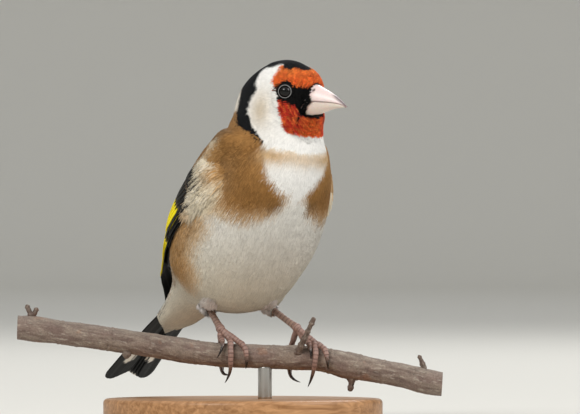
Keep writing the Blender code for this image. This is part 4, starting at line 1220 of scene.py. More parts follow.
def flight_paint(side, number, kind, start, end):
    """Black flight feathers with yellow bases on their outer webs, and pale tips."""
    yellow_end = {"primary": 0.745 - 0.012 * number, "secondary": 0.5, "tertial": 0.0}[kind]
    pale_from = {"primary": 0.975, "secondary": 0.955, "tertial": 0.9}[kind]

    def paint(along, across):
        tone = colour_field(along.shape, WING_BLACK)
        share = start + (end - start) * along
        if kind != "primary" or number > 0:
            tone[(share < yellow_end + 0.015 * np.sin(across * 9)) & (across * side < 0.5)] = WING_YELLOW
        if kind != "primary" or number > 1:
            tone[along > pale_from + 0.02 * np.abs(across)] = WARM_WHITE
        return tone
    return paint


def covert_paint(kind, number, count):
    """Black coverts: the greater ones end in yellow, and the lesser and median ones in a brownish edge."""
    def paint(along, across):
        tone = colour_field(along.shape, WING_BLACK)
        if kind == "greater" and 0 < number < count - 2:
            tone[along > 0.42 + 0.03 * np.sin(across * 7)] = WING_YELLOW
        if kind in ("lesser", "median"):
            tone[along > 0.93] = MANTLE_BROWN * 0.35 + WING_BLACK * 0.65
        return tone
    return paint


FEATHER_CELLS = 12                      # patches of the long feathers side by side on the unwrap
CELL_GAP = 0.004
PRIMARY_ENDS = (0.975, 1.0, 0.99, 0.965, 0.935, 0.9, 0.865, 0.835, 0.805)
SECONDARY_ENDS = (0.79, 0.78, 0.77, 0.76, 0.745, 0.73)
COVERT_ENDS = (0.44, 0.43, 0.42, 0.41)
WING_ROWS = (
    # kind, start and each feather's end along the wing, roots and tips across it of the first and last,
    # lift at root and tip, half width, levels, rounded part, and how far the last lies over the first
    ("primary", 0.26, PRIMARY_ENDS, (0.1, 0.46), (0.28, 0.76), (-0.1, -0.15), 1.75, 72, 0.16, 0.5),
    ("secondary", 0.26, SECONDARY_ENDS, (0.42, 0.72), (0.56, 0.82), (0.1, 0.3), 2.2, 60, 0.12, 0.5),
    ("tertial", 0.26, (0.73, 0.64, 0.53), (0.68, 0.88), (0.8, 0.9), (0.3, 0.75), 2.8, 56, 0.25, 0.5),
    ("greater", 0.13, (0.385,) * 9, (0.12, 0.9), (0.13, 0.88), (0.05, 0.5), 1.95, 30, 0.3, 0.5),
    ("primary_covert", 0.19, COVERT_ENDS, (0.04, 0.16), (0.05, 0.16), (0.25, 0.3), 1.0, 30, 0.3, 0.5),
    ("alula", 0.1, (0.31, 0.27, 0.23), (0.03, 0.1), (0.04, 0.11), (0.3, 0.35), 1.1, 26, 0.3, 0.5),
    ("median", 0.05, (0.235,) * 8, (0.12, 0.9), (0.12, 0.88), (0.15, 0.6), 2.1, 24, 0.4, 0.3),
    ("lesser", 0.0, (0.14,) * 8, (0.14, 0.88), (0.12, 0.9), (0.15, 0.65), 2.0, 20, 0.45, 0.3),
)


def add_wing_bed(shape, side):
    """The bed that a folded wing's feathers lie on, thin at its edges, darker than their black: painted shade
    that shows in the gaps between them.
    """
    alongs, acrosses = np.linspace(0, 0.6, 26), np.linspace(0.03, 0.97, 15)
    bed = np.where(alongs < 0.3, 0.2, 0.0)[:, None] + 0 * acrosses[None]
    bed[:, 0] = bed[:, -1] = bed[0] = -0.25
    share, across = np.meshgrid(alongs, acrosses, indexing="ij")
    top = wing_surface(side, share, across, bed - 0.1)[0]
    under = wing_surface(side, share, across, bed * 0 - 0.75)[0]
    add_rings(shape, np.concatenate([top, under[:, ::-1]], 1), WING_BLACK * 0.6, (0.0, 0.0, 0.2, 0.1))


def make_wing(name, side):
    """A folded wing of overlapping feathers in tiers. In a row the next one inwards lies on top."""
    shape = Shape()
    add_wing_bed(shape, side)
    cells = ((x, y) for y in range(6) for x in range(FEATHER_CELLS))
    for kind, start, ends, roots, tips, lifts, half_width, levels, rounded, climb in WING_ROWS:
        for number, end in enumerate(ends):
            inward = number / (len(ends) - 1)
            steps = np.linspace(0, 1, levels)
            root = roots[0] + (roots[1] - roots[0]) * inward
            tip = tips[0] + (tips[1] - tips[0]) * inward
            lift = lifts[0] + climb * inward + (lifts[1] - lifts[0]) * steps
            along, across = start + (end - start) * steps, root + (tip - root) * steps
            centre, normals = wing_surface(side, along, across, lift)
            half = half_width * blade_outline(steps, rounded) * (1 + DRAW.normal(0, 0.015))
            x, y = next(cells)
            left, foot = x / FEATHER_CELLS + CELL_GAP, 0.12 + y * 0.145 + CELL_GAP
            patch = (left, foot, left + 1 / FEATHER_CELLS - 2 * CELL_GAP, foot + 0.145 - 2 * CELL_GAP)
            if kind in ("primary", "secondary", "tertial"):
                paint = flight_paint(side, number, kind, start, end)
            else:
                paint = covert_paint(kind, number, len(ends))
            add_vane(shape, centre, normals, half, paint, patch, 0.12, 0.2 * side)
    return shape.build(name, VANE)


TAIL_NOTCH = np.array((-3.8, 57.2, 12.5))           # where the middle feathers end
TAIL_ALONG = unit(np.array((-0.073, 0.806, -0.588)))
TAIL_LENGTH, TAIL_HIDDEN = 47.5, 13.2               # the hidden part is in the body, and isn't made
TAIL_PAIRS = 6


def tail_paint(number, side):
    """Black tail feathers: the middle pairs have pale tips, and the outer ones a white patch inwards."""
    def paint(along, across):
        inner = across * side
        tone = colour_field(along.shape, WING_BLACK)
        if number < 4:
            tone[along > 0.955 + 0.03 * np.abs(across)] = WARM_WHITE
        else:
            spot = ((along - 0.7) / 0.1) ** 2 + ((inner - 0.45) / 0.5) ** 2 < 1
            tone[spot] = WARM_WHITE
        return tone
    return paint


def make_tail():
    """Twelve feathers in a shallow fork, the middle pair on top and each next one under it."""
    shape = Shape()
    insertion = TAIL_NOTCH - TAIL_ALONG * TAIL_LENGTH
    left = turned(5)[0]
    left = unit(left - TAIL_ALONG * (left @ TAIL_ALONG))
    up = np.cross(left, TAIL_ALONG)
    up = up * np.sign(up[2])
    steps = np.linspace(0, 1, 80)
    for side in BOTH_SIDES:
        for number in range(TAIL_PAIRS):
            outward = number / (TAIL_PAIRS - 1)
            fan = math.radians(0.4 + 0.75 * number)
            length = TAIL_LENGTH + 2.5 * outward ** 0.7
            along = TAIL_ALONG * math.cos(fan) + left * side * math.sin(fan)
            height = 0.55 * (1 - 2 * outward) + 0.05 * side
            root = insertion + left * side * (0.25 + 0.36 * number) + up * height
            reach = TAIL_HIDDEN + (length - TAIL_HIDDEN) * steps
            centre = root + along * reach[:, None] + up * (0.25 * np.sin(np.pi * steps))[:, None]
            half = 2.4 * blade_outline(steps, 0.1, 0.75, 0.2)
            cell = number + (TAIL_PAIRS if side > 0 else 0)
            patch = (cell / FEATHER_CELLS + CELL_GAP, 0.01, (cell + 1) / FEATHER_CELLS - CELL_GAP, 0.99)
            normals = np.broadcast_to(up, centre.shape)
            add_vane(shape, centre, normals, half, tail_paint(number, side), patch, 0.1, 0.1 * side)
    return shape.build("tail_feathers", VANE)


# Eyes, lids and bill

PUPIL, IRIS, RIM_GREY = linear("#020202"), linear("#0B0604"), linear("#949291")


def make_eye(name, side):
    """An eyeball: black pupil, dark brown iris, and a cornea that stands a little proud."""
    centre, looks = eye_place(float(side))
    lean = np.radians(np.linspace(2, 178, 60))
    degrees = np.degrees(lean)
    radius = EYE_RADIUS - 0.1 + 0.12 * np.exp(-(degrees / 38) ** 4)
    ring = round_eye(looks, circle(48))
    ways = looks * np.cos(lean)[:, None, None] + ring[None] * np.sin(lean)[:, None, None]
    iris = step_curve(degrees, 20, 24) * (1 - step_curve(degrees, 40, 44))
    tones = blend(PUPIL, IRIS, iris[:, None] + np.zeros(len(ring)))
    shape = Shape()
    front, back = centre + looks * (EYE_RADIUS + 0.02), centre - looks * (EYE_RADIUS - 0.1)
    add_rings(shape, centre + radius[:, None, None] * ways, tones, first_pole=front, last_pole=back)
    return shape.build(name, EYE)


# The section of an eye's rim and the skin round it, as distances out from the way it looks and along it
LID_SECTION = np.array((
    (1.56, 1.22), (1.58, 1.42), (1.62, 1.54), (1.69, 1.60), (1.77, 1.59), (1.83, 1.52), (1.90, 1.46),
    (1.98, 1.38), (2.1, 1.2), (2.25, 0.95), (2.4, 0.6), (2.4, 0.2), (2.1, 0.0), (1.8, 0.3), (1.6, 0.8),
))


def make_lids():
    """The bare rim of each eye, pale and beaded, with the black feathered skin that slopes away from it."""
    shape = Shape()
    turn = circle(96)
    out, forward = LID_SECTION.T
    beads = 0.05 * np.abs(np.sin(turn * 17)) - 0.02
    raised = (out > 1.6) & (out < 1.85) & (forward > 1.5)
    pale = (out > 1.63) & (out < 1.78) & (forward > 1.5)
    tone = np.where(pale[:, None], RIM_GREY, BLACK)
    for number, side in enumerate(BOTH_SIDES):
        centre, looks = eye_place(side)
        ahead = forward + raised * beads[:, None]
        rings = centre + round_eye(looks, turn)[:, None] * out[None, :, None] + looks * ahead[..., None]
        tones = np.broadcast_to(tone, rings.shape)
        add_loop(shape, rings, tones, (0.5 * number, 0, 0.5 * number + 0.48, 1))
    return shape.build("eyelids", LID_SKIN)


# The bill by its stations ahead of the head's axis: culmen, line of the mouth, gonys, and half width
BILL_AHEAD = (8.6, 9.5, 11.0, 12.4, 14.0, 16.0, 18.0, 19.5, 20.8, 21.6)
CULMEN = (91.9, 91.8, 91.45, 90.95, 90.15, 89.2, 88.05, 87.0, 85.9, 85.15)
MOUTH = (84.2, 84.6, 85.7, 86.55, 86.4, 86.3, 86.1, 85.85, 85.4, 85.0)
GONYS = (81.9, 82.1, 82.6, 83.0, 83.55, 84.15, 84.6, 84.75, 84.8, 84.75)
BILL_HALF = (3.9, 3.85, 3.6, 3.25, 2.75, 2.1, 1.45, 0.95, 0.5, 0.2)


UPPER_HORN, LOWER_HORN, ROOT_PINK = linear("#E6D3CF"), linear("#E0D1C6"), linear("#DDBDB0")
# The nostril's colour is painted shade inside its pit.
NOSTRIL_SHADE, CULMEN_STREAK = linear("#3A2424"), linear("#4C3D44")
# The mouth line's colour is painted shade in the crease between the mandibles.
TIP_GREY, MOUTH_LINE_SHADE = linear("#5E4E50"), linear("#A5807A")
BILL_PARTING = 0.06                     # half of the gap between the closed mandibles


def eased(line):
    """A line of the bill with its corners rounded over five stations."""
    return np.concatenate([line[:2], np.convolve(line, np.ones(5) / 5, "valid"), line[-2:]])


def make_bill(name, upper):
    """One mandible of a stout cone: ivory horn, flushed pink, with a dark streak along the culmen's tip."""
    ahead = np.concatenate([np.linspace(8.6, 20.6, 58), np.linspace(20.75, 21.75 if upper else 21.3, 12)])
    lines = (CULMEN if upper else GONYS, MOUTH, BILL_HALF)
    edge, mouth, half = (eased(np.interp(ahead, BILL_AHEAD, line))[:, None] for line in lines)
    half = half if upper else half * 0.95 - 0.05
    sign = 1 if upper else -1
    # Each ring goes over the outside, and back along the closed mouth
    angle = np.linspace(0, np.pi, 31)
    shut = np.linspace(-1, 1, 9)[1:-1]
    rise = (np.abs(edge - mouth) - BILL_PARTING) * np.sin(angle) ** 0.92
    swell = 0.18 * (1 - shut ** 2) * np.minimum(half, 1)
    x = half * np.sign(np.cos(angle)) * np.abs(np.cos(angle)) ** 1.05
    x = np.concatenate([x, half * shut * 0.98], 1)
    z = mouth + sign * (BILL_PARTING + np.concatenate([rise, swell], 1))
    a = ahead[:, None] + 0 * x
    tone = blend(UPPER_HORN if upper else LOWER_HORN, ROOT_PINK, 0.5 * (1 - step_curve(a, 9, 15)))
    if upper:
        # The nostril is a sunk pit, painted dark as the shade inside it.
        nostril = ((a - 12.1) / 0.5) ** 2 + ((z - 89.6) / 0.4) ** 2
        sunk = np.exp(-nostril ** 2) * (np.abs(x) > 0.5)
        x = x - np.sign(x) * 0.4 * sunk
        tone = blend(tone, NOSTRIL_SHADE, sunk)
        streak = step_curve(a, 16.5, 18.5) * np.exp(-((z - edge) / np.interp(a, (16, 21), (0.35, 0.7))) ** 2)
        tone = blend(tone, CULMEN_STREAK, 0.85 * streak)
    tone = blend(tone, TIP_GREY, 0.7 * step_curve(a, 20.4, 21.5))
    # Along the closed mouth the horn is painted darker: painted shade in the crease between the mandibles.
    tone = blend(tone, MOUTH_LINE_SHADE, 0.45 * np.exp(-((z - mouth) / 0.16) ** 2))
    shape = Shape()
    end = head_point(21.9, 0, 84.85) if upper else head_point(21.42, 0, 84.88)
    add_rings(shape, head_point(a, x, z), tone, last_pole=end)
    return shape.build(name, BILL_HORN)


# The front edge of the bristles: degrees up from the bill's side, and how far ahead of the head's axis
BRISTLE_LINE = (
    (-90, -60, -45, -15, 0, 12, 25, 60, 90),
    (13.2, 10.4, 9.7, 10.9, 12.2, 12.0, 11.5, 11.5, 11.9),
)


def make_bristles():
    """Short stiff feathers that lie forwards over the bill's root and hide its nostrils."""
    count = 2600
    turn = DRAW.uniform(-90, 270, count)
    rise = np.where(turn > 90, 180 - turn, turn)
    ahead = np.interp(rise, *BRISTLE_LINE) - DRAW.uniform(0.7, 3.4, count)
    length = DRAW.uniform(0.7, 1.5, count)
    angle = np.radians(turn)

    def over_bill(ahead, out):
        lines = (CULMEN, BILL_HALF, MOUTH, GONYS)
        upper, half, mouth, lower = (np.interp(ahead, BILL_AHEAD, line) for line in lines)
        tall = np.where(np.sin(angle) > 0, upper - mouth, mouth - lower)
        return head_point(ahead, (half + out) * np.cos(angle), mouth + (tall + out) * np.sin(angle))

    start, end = over_bill(ahead, -0.1), over_bill(ahead + length, DRAW.uniform(0.12, 0.35, count))
    middle = over_bill(ahead + length * 0.4, 0.25)
    up = unit(middle - over_bill(ahead + length * 0.4, -0.5))
    spots = rows((turn + 90) / 370, (ahead - 6) / 8, PATCH, PATCH)
    shape = Shape()
    tone = np.broadcast_to(BLACK, start.shape)
    add_strands(shape, start, middle, end, up, DRAW.uniform(0.12, 0.2, count), tone, tone, spots)
    return shape.build("bill_bristles", FEATHER)


# Legs, feet and claws

def scaled_tube(shape, path, radii, sides, pitch, patch, front, pale, dark, pads=0.0):
    """A limb with plates across its front. Each one's lower edge stands proud, and the grooves are darker."""
    turn = circle(sides)
    ring = rings_round(path, turn)
    reach = np.concatenate([[0], np.cumsum(np.linalg.norm(np.diff(path, axis=0), axis=1))])[:, None]
    facing = np.clip(ring @ unit(front), -1, 1)
    phase = (reach / pitch) % 1
    plate = 0.09 * phase - 0.11 * np.exp(-((phase - 1) / 0.09) ** 2) - 0.05 * np.exp(-(phase / 0.06) ** 2)
    plates = plate * step_curve(facing, -0.1, 0.5)
    cushion = pads * np.sin(np.pi * reach / 2.4) ** 2 * step_curve(-facing, 0.1, 0.9)
    fine = 0.025 * np.sin(reach * 9) * np.sin(turn * 7) * step_curve(-facing, -0.3, 0.3)
    rings = path[:, None] + ring * (radii[:, None] * (1 + plates + fine) + cushion)[..., None]
    groove = np.exp(-((phase - 1) / 0.12) ** 2) + np.exp(-(phase / 0.1) ** 2)
    tone = blend(pale, dark, np.clip(groove * step_curve(facing, -0.2, 0.3), 0, 0.9))
    # The side away from the front is painted darker: painted shade on the far side of each limb and under the
    # toes.
    tone = blend(tone, dark, 0.45 * step_curve(-facing, 0.2, 0.9))
    add_rings(shape, rings, tone * (1 + 0.08 * np.sin(reach * 1.3))[..., None], patch)


LEG_PALE, LEG_DARK = linear("#8E7467"), linear("#5E463E")
TOE_PALE, TOE_DARK = linear("#937469"), linear("#5C443D")
JOINT_RADIUS, TOE_RADIUS, TARSUS_RADIUS = 1.25, 0.8, 0.92
GAP = 0.3                               # between toes and twig
TARSUS_SWELLING = ((0, 0.12, 0.3, 0.6, 0.88, 1), (1.25, 1.12, 0.98, 0.94, 1.02, 1.2))
TOE_SWELLING = (1.15, 1.0, 1.02, 0.92, 1.04, 0.9, 1.0, 0.9, 0.86, 0.7)
TOES = {
    # name, marks as shifts along the twig and degrees round it, and where the claw ends from the toe's end
    "right": (
        ("outer", ((-0.5, 5), (0.0, 22), (0.3, 40)), (-1.6, -4.3, -1.3)),
        ("middle", ((2.2, 22), (2.7, 78), (2.8, 128)), (-1.6, -4.6, 1.2)),
        ("inner", ((4.8, 34), (6.5, 63), (7.0, 90)), (-0.2, -3.4, 0.9)),
        ("hind", ((-0.3, -30), (0.0, -90), (0.5, -148)), (2.0, -1.4, -3.8)),
    ),
    "left": (
        ("inner", ((1.8, 4), (2.8, 24), (3.2, 46)), (0.3, -3.5, -1.0)),
        ("middle", ((3.6, 12), (4.8, 66), (4.7, 130)), (-1.6, -4.8, 1.2)),
        ("outer", ((4.6, 24), (6.8, 50), (7.8, 78)), (0.3, -3.4, 0.6)),
        ("hind", ((-1.4, -30), (-2.0, -90), (-2.0, -148)), (2.9, -2.8, -3.9)),
    ),
}


def toe_path(side, ways, count):
    """A toe's middle line from the joint round the twig, kept clear of the bark."""
    joint, across = toe_joint(side), TOE_JOINTS[side][0]
    stand_off = TWIG_RADIUS + GAP + TOE_RADIUS + 0.15
    marks = [joint] + [round_twig(across + shift, degrees, stand_off) for shift, degrees in ways]
    path = read_along(marks, count)
    centre = twig_centre(path @ VIEW_RIGHT)
    out = path - centre
    far = np.linalg.norm(out, axis=1, keepdims=True)
    clear = centre + out * np.maximum(1, stand_off / far)
    clear[0] = joint
    return clear


def make_leg(side):
    """The bare tarsus, with its row of plates down the front."""
    heel, joint = HEELS[side], toe_joint(side)
    shin = unit(joint - heel)
    end = joint - shin * (JOINT_RADIUS + GAP - 0.6)
    share = np.linspace(0, 1, 120)
    path = heel + (end - heel) * share[:, None]
    radii = TARSUS_RADIUS * np.interp(share, *TARSUS_SWELLING)
    shape = Shape()
    front = -VIEW_AWAY + np.array((0, -0.6, 0.3))
    scaled_tube(shape, path, radii, 28, 1.35, (0, 0, 1, 1), front, LEG_PALE, LEG_DARK)
    return shape.build("tarsus_" + side, SCALED_SKIN)


def make_foot(side):
    """Toes that grip the twig, plated above and padded below, and a claw on each."""
    shape = Shape()
    claws = []
    joint = toe_joint(side)
    knuckle = joint + unit(HEELS[side] - joint) * np.linspace(1.5, -1.0, 24)[:, None]
    radii = np.sqrt(np.maximum(1 - np.linspace(-0.92, 0.97, 24) ** 2, 0.05)) * JOINT_RADIUS
    scaled_tube(shape, knuckle, radii, 26, 0.8, (0, 0.8, 0.4, 1), -VIEW_AWAY, TOE_PALE, TOE_DARK)
    for number, (name, ways, claw_end) in enumerate(TOES[side]):
        path = toe_path(side, ways, 90)
        radii = TOE_RADIUS * read_along(TOE_SWELLING, 90)
        outward = (path - twig_centre(path @ VIEW_RIGHT)).mean(0)
        patch = (number / 4, 0, number / 4 + 0.24, 0.75)
        scaled_tube(shape, path, radii, 26, 1.0, patch, outward, TOE_PALE, TOE_DARK, 0.12)
        claws.append(make_claw(side, name, toe_path(side, ways, 9), claw_end))
    return shape.build("toes_" + side, SCALED_SKIN), claws


CLAW_ROOT, CLAW_POINT = linear("#6E564B"), linear("#1E1714")
CLAW_WIDTH = 0.85                       # how wide a claw is for its height


def make_claw(side, name, toe, claw_end):
    """A claw that bends from the toe's last stretch towards its own end, and gets darker."""
    ahead = unit(toe[-1] - toe[-2])
    start = toe[-1] - ahead * 0.15
    end = toe[-1] + view_point(*claw_end) - view_point(0, 0)
    bend = start + ahead * np.linalg.norm(end - start) * 0.55
    share = np.linspace(0, 1, 40)[:, None]
    path = start * (1 - share) ** 2 + bend * 2 * share * (1 - share) + end * share * share
    radii = np.interp(share, (0, 0.12, 0.4, 0.7, 0.9, 1), (0.6, 0.62, 0.5, 0.32, 0.17, 0.06))
    turn = circle(20)
    tone = blend(CLAW_ROOT, CLAW_POINT, step_curve(share, 0.05, 0.55) + 0 * turn)
    shape = Shape()
    add_rings(shape, path[:, None] + rings_round(path, turn, CLAW_WIDTH) * radii[..., None], tone)
    return shape.build(f"claw_horn_{side}_{name}", CLAW_HORN)


# Twig

# Knots as where they are across the view, how far they swell and how long they are
KNOTS = ((29.0, 0.4, 4.5), (-56.0, 0.25, 4.0), (49.0, 0.2, 3.5), (-17.0, 0.12, 3.0), (14.0, 0.18, 2.4))
SHOOTS = (
    # root, bend and end, each as across the view, height and depth, then the radii
    ((14.4, 17.6, -1.6), (16.7, 22.4, -5.2), (19.4, 28.2, -6.6), (1.35, 0.82, 0.74)),
    ((29.2, 13.8, 0.0), (29.5, 10.6, 0.0), (29.0, 8.0, 0.2), (2.3, 1.05, 0.8)),
    ((-56.2, 24.6, 0.2), (-57.4, 28.4, 0.0), (-58.8, 31.6, -0.2), (1.6, 0.95, 0.6)),
    ((-57.2, 28.2, 0.0), (-56.4, 29.6, -0.2), (-55.8, 30.8, -0.3), (0.8, 0.8, 0.6)),
    ((49.0, 10.8, 0.3), (49.0, 14.8, 0.2), (47.7, 17.9, 0.1), (1.8, 0.9, 0.55)),
    ((-31.4, 20.4, -0.6), (-31.5, 18.4, -1.2), (-31.6, 16.9, -1.6), (1.7, 1.3, 0.8)),
)


def rough(points, scale, octaves=3):
    """Noise at each point, about -1 to 1, for a grain of the given size in millimetres."""
    flat = points.reshape(-1, 3) / scale
    return np.array([noise.fractal(p, 0.9, 2.1, octaves) for p in flat]).reshape(points.shape[:-1])


RIDGES = (-49.5, -36.0, -12.5, 8.0, 23.6, 31.5, 38.0)
BARK_BROWN, BARK_LINES, BARK_PATCHES = linear("#8A7B6F"), linear("#6E5D55"), linear("#7D6961")
BARK_FLECKS, BARK_RUST, BARK_CRACKS = linear("#B5AC9E"), linear("#8C6148"), linear("#2E2420")
# The paler tone of the twig's top: painted light from above.
LIT_BARK_TOP = linear("#A39C8F")
# The sawn face from the bark inwards: share of the radius, and the wood's colour
WOOD_RINGS = (
    (0.93, "#8A6A48"), (0.8, "#D8BE92"), (0.66, "#C7A878"), (0.52, "#DCC49A"),
    (0.38, "#C9AB7C"), (0.24, "#D6BB8C"), (0.1, "#8A6844"),
)


def bark_tone(grain, points, height):
    """Grey-brown bark in fine lines along the twig, flecked pale, rusty in places, and dark in the cracks."""
    tone = blend(BARK_BROWN, BARK_LINES, step_curve(rough(grain, 0.9), -0.4, 0.5))
    tone = blend(tone, BARK_PATCHES, step_curve(rough(points + 15, 6.0), -0.2, 0.5) * 0.6)
    tone = blend(tone, BARK_FLECKS, step_curve(rough(grain + 40, 0.5, 2), 0.3, 0.75) * 0.55)
    tone = blend(tone, BARK_RUST, step_curve(rough(points + 90, 5.5), 0.5, 0.75) * 0.4)
    return blend(tone, BARK_CRACKS, step_curve(-height, 0.04, 0.3) * 0.7)


def cut_face(rim, across, towards):
    """Ends the twig with a sawn face of pale wood, ringed to the pith. towards is further along the twig."""
    centre = twig_centre(across)
    inward = unit(twig_centre(towards) - centre)
    discs = [centre + (rim - centre) * share + inward * 0.12 * (share < 0.9) for share, _ in WOOD_RINGS]
    return np.stack(discs), np.stack([np.broadcast_to(linear(wood), rim.shape) for _, wood in WOOD_RINGS])


def add_stem(shape):
    """The twig itself: its bark cracked along its length, with specks, knots and ridges, and sawn ends."""
    first, last = TWIG_LINE[0, 0], TWIG_LINE[-1, 0]
    across = np.linspace(first, last, 420)
    a, d = np.meshgrid(across, np.arange(90) * 4.0, indexing="ij")
    radius = TWIG_RADIUS + sum(swell * np.exp(-(((a - at) / long) ** 2)) for at, swell, long in KNOTS)
    smooth = round_twig(a, d, radius)
    round_it = np.radians(d)
    grain = rows(a * 0.22, np.cos(round_it) * TWIG_RADIUS, np.sin(round_it) * TWIG_RADIUS)
    height = 0.13 * rough(grain, 0.8) + 0.06 * rough(smooth + 7, 0.6, 2) + 0.14 * rough(smooth + 20, 4.5)
    for at, turn, size in DRAW.uniform((first, 0, 0.25), (last, 360, 0.6), (170, 3)):
        gap = np.radians(np.abs(signed(d - turn))) * TWIG_RADIUS
        height += 0.1 * np.exp(-((a - at) / (size * 0.6)) ** 2 - (gap / size) ** 2)
    for at in RIDGES:
        away = np.abs(a - at - 0.3 * np.sin(round_it * 3 + at))
        height += 0.14 * np.exp(-(away / 0.35) ** 2) - 0.08 * np.exp(-((away - 0.6) / 0.25) ** 2)
    rings = round_twig(a, d, radius - 0.12 + height * 0.8)
    above = smooth[..., 2] - twig_centre(across)[:, None, 2]
    # The twig's top is painted paler: painted light from above.
    tones = blend(bark_tone(grain, smooth, height), LIT_BARK_TOP, 0.35 * step_curve(above, 0.5, 4.5))
    start, start_tones = cut_face(rings[0], first, first + 1)
    end, end_tones = cut_face(rings[-1], last, last - 1)
    rings = np.concatenate([start[::-1], rings, end])
    tones = np.concatenate([start_tones[::-1], tones, end_tones])
    add_rings(shape, rings, tones, (0, 0, 1, 0.8))


def add_shoot(shape, number, stops, radii):
    """The stub of a side shoot, ringed by bud scars and rounded at its end."""
    length = np.linalg.norm(np.diff(stops, axis=0), axis=1).sum()
    levels = int(length / 0.22)
    path, width = read_along(stops, levels), read_along(radii, levels)[:, None]
    turn = circle(28)
    ring = rings_round(path, turn)
    smooth = path[:, None] + ring * width[..., None]
    along = np.linspace(0, length, levels)[:, None]
    fine = rows(along * 0.5 + 0 * turn, np.cos(turn) + 0 * along, np.sin(turn) + 0 * along)
    height = 0.12 * rough(smooth, 1.1) + 0.08 * rough(fine + 7, 0.4, 2)
    height = height + 0.2 * np.exp(-(((along + 0.8) % 2.1 - 1) / 0.28) ** 2) - 0.12
    closing = np.sqrt(np.clip(1 - (along - length + 1.0).clip(0) ** 2, 0.05, 1))
    rings = path[:, None] + ring * ((width + height) * closing)[..., None]
    tone = bark_tone(fine * (1, 1.4, 1.4), smooth, height) * 0.8
    add_rings(shape, rings, tone, (number / 6, 0.82, number / 6 + 0.15, 1))


def make_twig():
    """The cut twig with the stubs of its side shoots."""
    shape = Shape()
    add_stem(shape)
    for number, (root, bend, end, radii) in enumerate(SHOOTS):
        add_shoot(shape, number, np.array([view_point(*stop) for stop in (root, bend, end)]), radii)
    return shape.build("twig_bark", BARK)


# Stand

def streaks(tree, stretch, **settings):
    """Noise stretched along a piece, at these frequencies in cycles per metre."""
    place = add_node(tree, "ShaderNodeTexCoord")
    run = add_node(tree, "ShaderNodeMapping", None, {"Vector": place.outputs["Object"], "Scale": stretch})
    noisy = add_node(tree, "ShaderNodeTexNoise", None, {"Vector": run.outputs[0], "Scale": 1.0, **settings})
    return noisy.outputs["Fac"]


def ranged_roughness(tree, shader, value, low, high):
    spread = add_node(tree, "ShaderNodeMapRange", None, {"Value": value, "To Min": low, "To Max": high})
    tree.links.new(spread.outputs["Result"], shader.inputs["Roughness"])


def wood_material():
    """Beech, turned and oiled: fine straight grain with short dark flecks, satin."""
    material, tree, shader = new_material(
        "oiled_beech", Specular_IOR_Level=0.4, Coat_Weight=0.15, Coat_Roughness=0.3,
    )
    grain = streaks(tree, (60.0, 900.0, 900.0), Detail=5.0, Distortion=0.6)
    bands = streaks(tree, (12.0, 190.0, 190.0), Detail=2.0)
    ramp = add_node(tree, "ShaderNodeValToRGB", None, {"Fac": grain})
    for stop, place, wood in zip(ramp.color_ramp.elements, (0.3, 0.72), ("#8F6238", "#C9986A")):
        stop.position, stop.color = place, rgba(wood)
    tone = add_node(tree, "ShaderNodeMapRange", None, {"Value": bands, "To Min": 0.8, "To Max": 1.15})
    shaded(tree, shader, ramp.outputs["Color"], tone.outputs["Result"])
    ranged_roughness(tree, shader, grain, 0.5, 0.36)
    raise_surface(tree, shader, grain, 0.2, 0.05)
    return material


def steel_material():
    """Stainless steel rod, drawn and lightly polished: fine scratches run along it."""
    material, tree, shader = new_material("drawn_steel", Metallic=1.0, Base_Color=rgba("#B9B8B5"))
    lines = streaks(tree, (4000.0, 4000.0, 120.0), Detail=2.0)
    ranged_roughness(tree, shader, lines, 0.2, 0.42)
    raise_surface(tree, shader, lines, 0.08, 0.02)
    return material


def turned_piece(name, profile, centre, material, sides=160):
    """A round piece from (radius, height) pairs, bottom first."""
    radii, heights = np.array(profile).T[..., None]
    turn = circle(sides)
    shape = Shape()
    rings = rows(centre[0] + radii * np.cos(turn), centre[1] + radii * np.sin(turn), heights)
    add_rings(shape, rings, (0.5, 0.5, 0.5))
    return shape.build(name, material)


FOOT_ROUND, TOP_ROUND = 0.4, 1.2        # the roundings of the base's lower and upper edge


def base_profile(radius, high):
    """The base's section: a flat foot, and both edges rounded."""
    turn = np.radians(np.linspace(0, 90, 9))
    low_in, top_in = radius - FOOT_ROUND, radius - TOP_ROUND
    foot = [(0.3, 0.0), (radius - 1.0, 0.0), (low_in, 0.0)]
    side = [(low_in + FOOT_ROUND * math.sin(t), FOOT_ROUND - FOOT_ROUND * math.cos(t)) for t in turn[1:]]
    edge = [(top_in + TOP_ROUND * math.cos(t), high - TOP_ROUND + TOP_ROUND * math.sin(t)) for t in turn]
    return foot + side + edge + [(top_in - 0.6, high), (radius * 0.5, high), (0.3, high)]


BASE_RADIUS, BASE_HEIGHT, ROD_RADIUS = 38.0, 6.0, 1.9
ROD_ACROSS = 6.0                        # where the rod meets the twig


def make_stand():
    """A round wooden base and the steel rod that stands in it."""
    base = turned_piece("turned_base", base_profile(BASE_RADIUS, BASE_HEIGHT), (0, 0), wood_material())
    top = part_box("stand_rod")[1].z / MM + 0.25
    heights = (BASE_HEIGHT, BASE_HEIGHT + 0.6, top * 0.5, top - 0.2, top)
    side = [(ROD_RADIUS, height) for height in heights]
    profile = [(0.2, BASE_HEIGHT - 0.1), (ROD_RADIUS - 0.3, BASE_HEIGHT - 0.1)] + side + [(0.2, top)]
    rod = turned_piece("steel_rod", profile, twig_centre(ROD_ACROSS), steel_material(), 64)
    return base, rod


# Studio

# The studio in metres: the flat floor's radius, the curve up to its wall, and the wall's height
FLOOR_RADIUS, FLOOR_CURVE, WALL_HEIGHT = 4.1, 0.5, 2.6


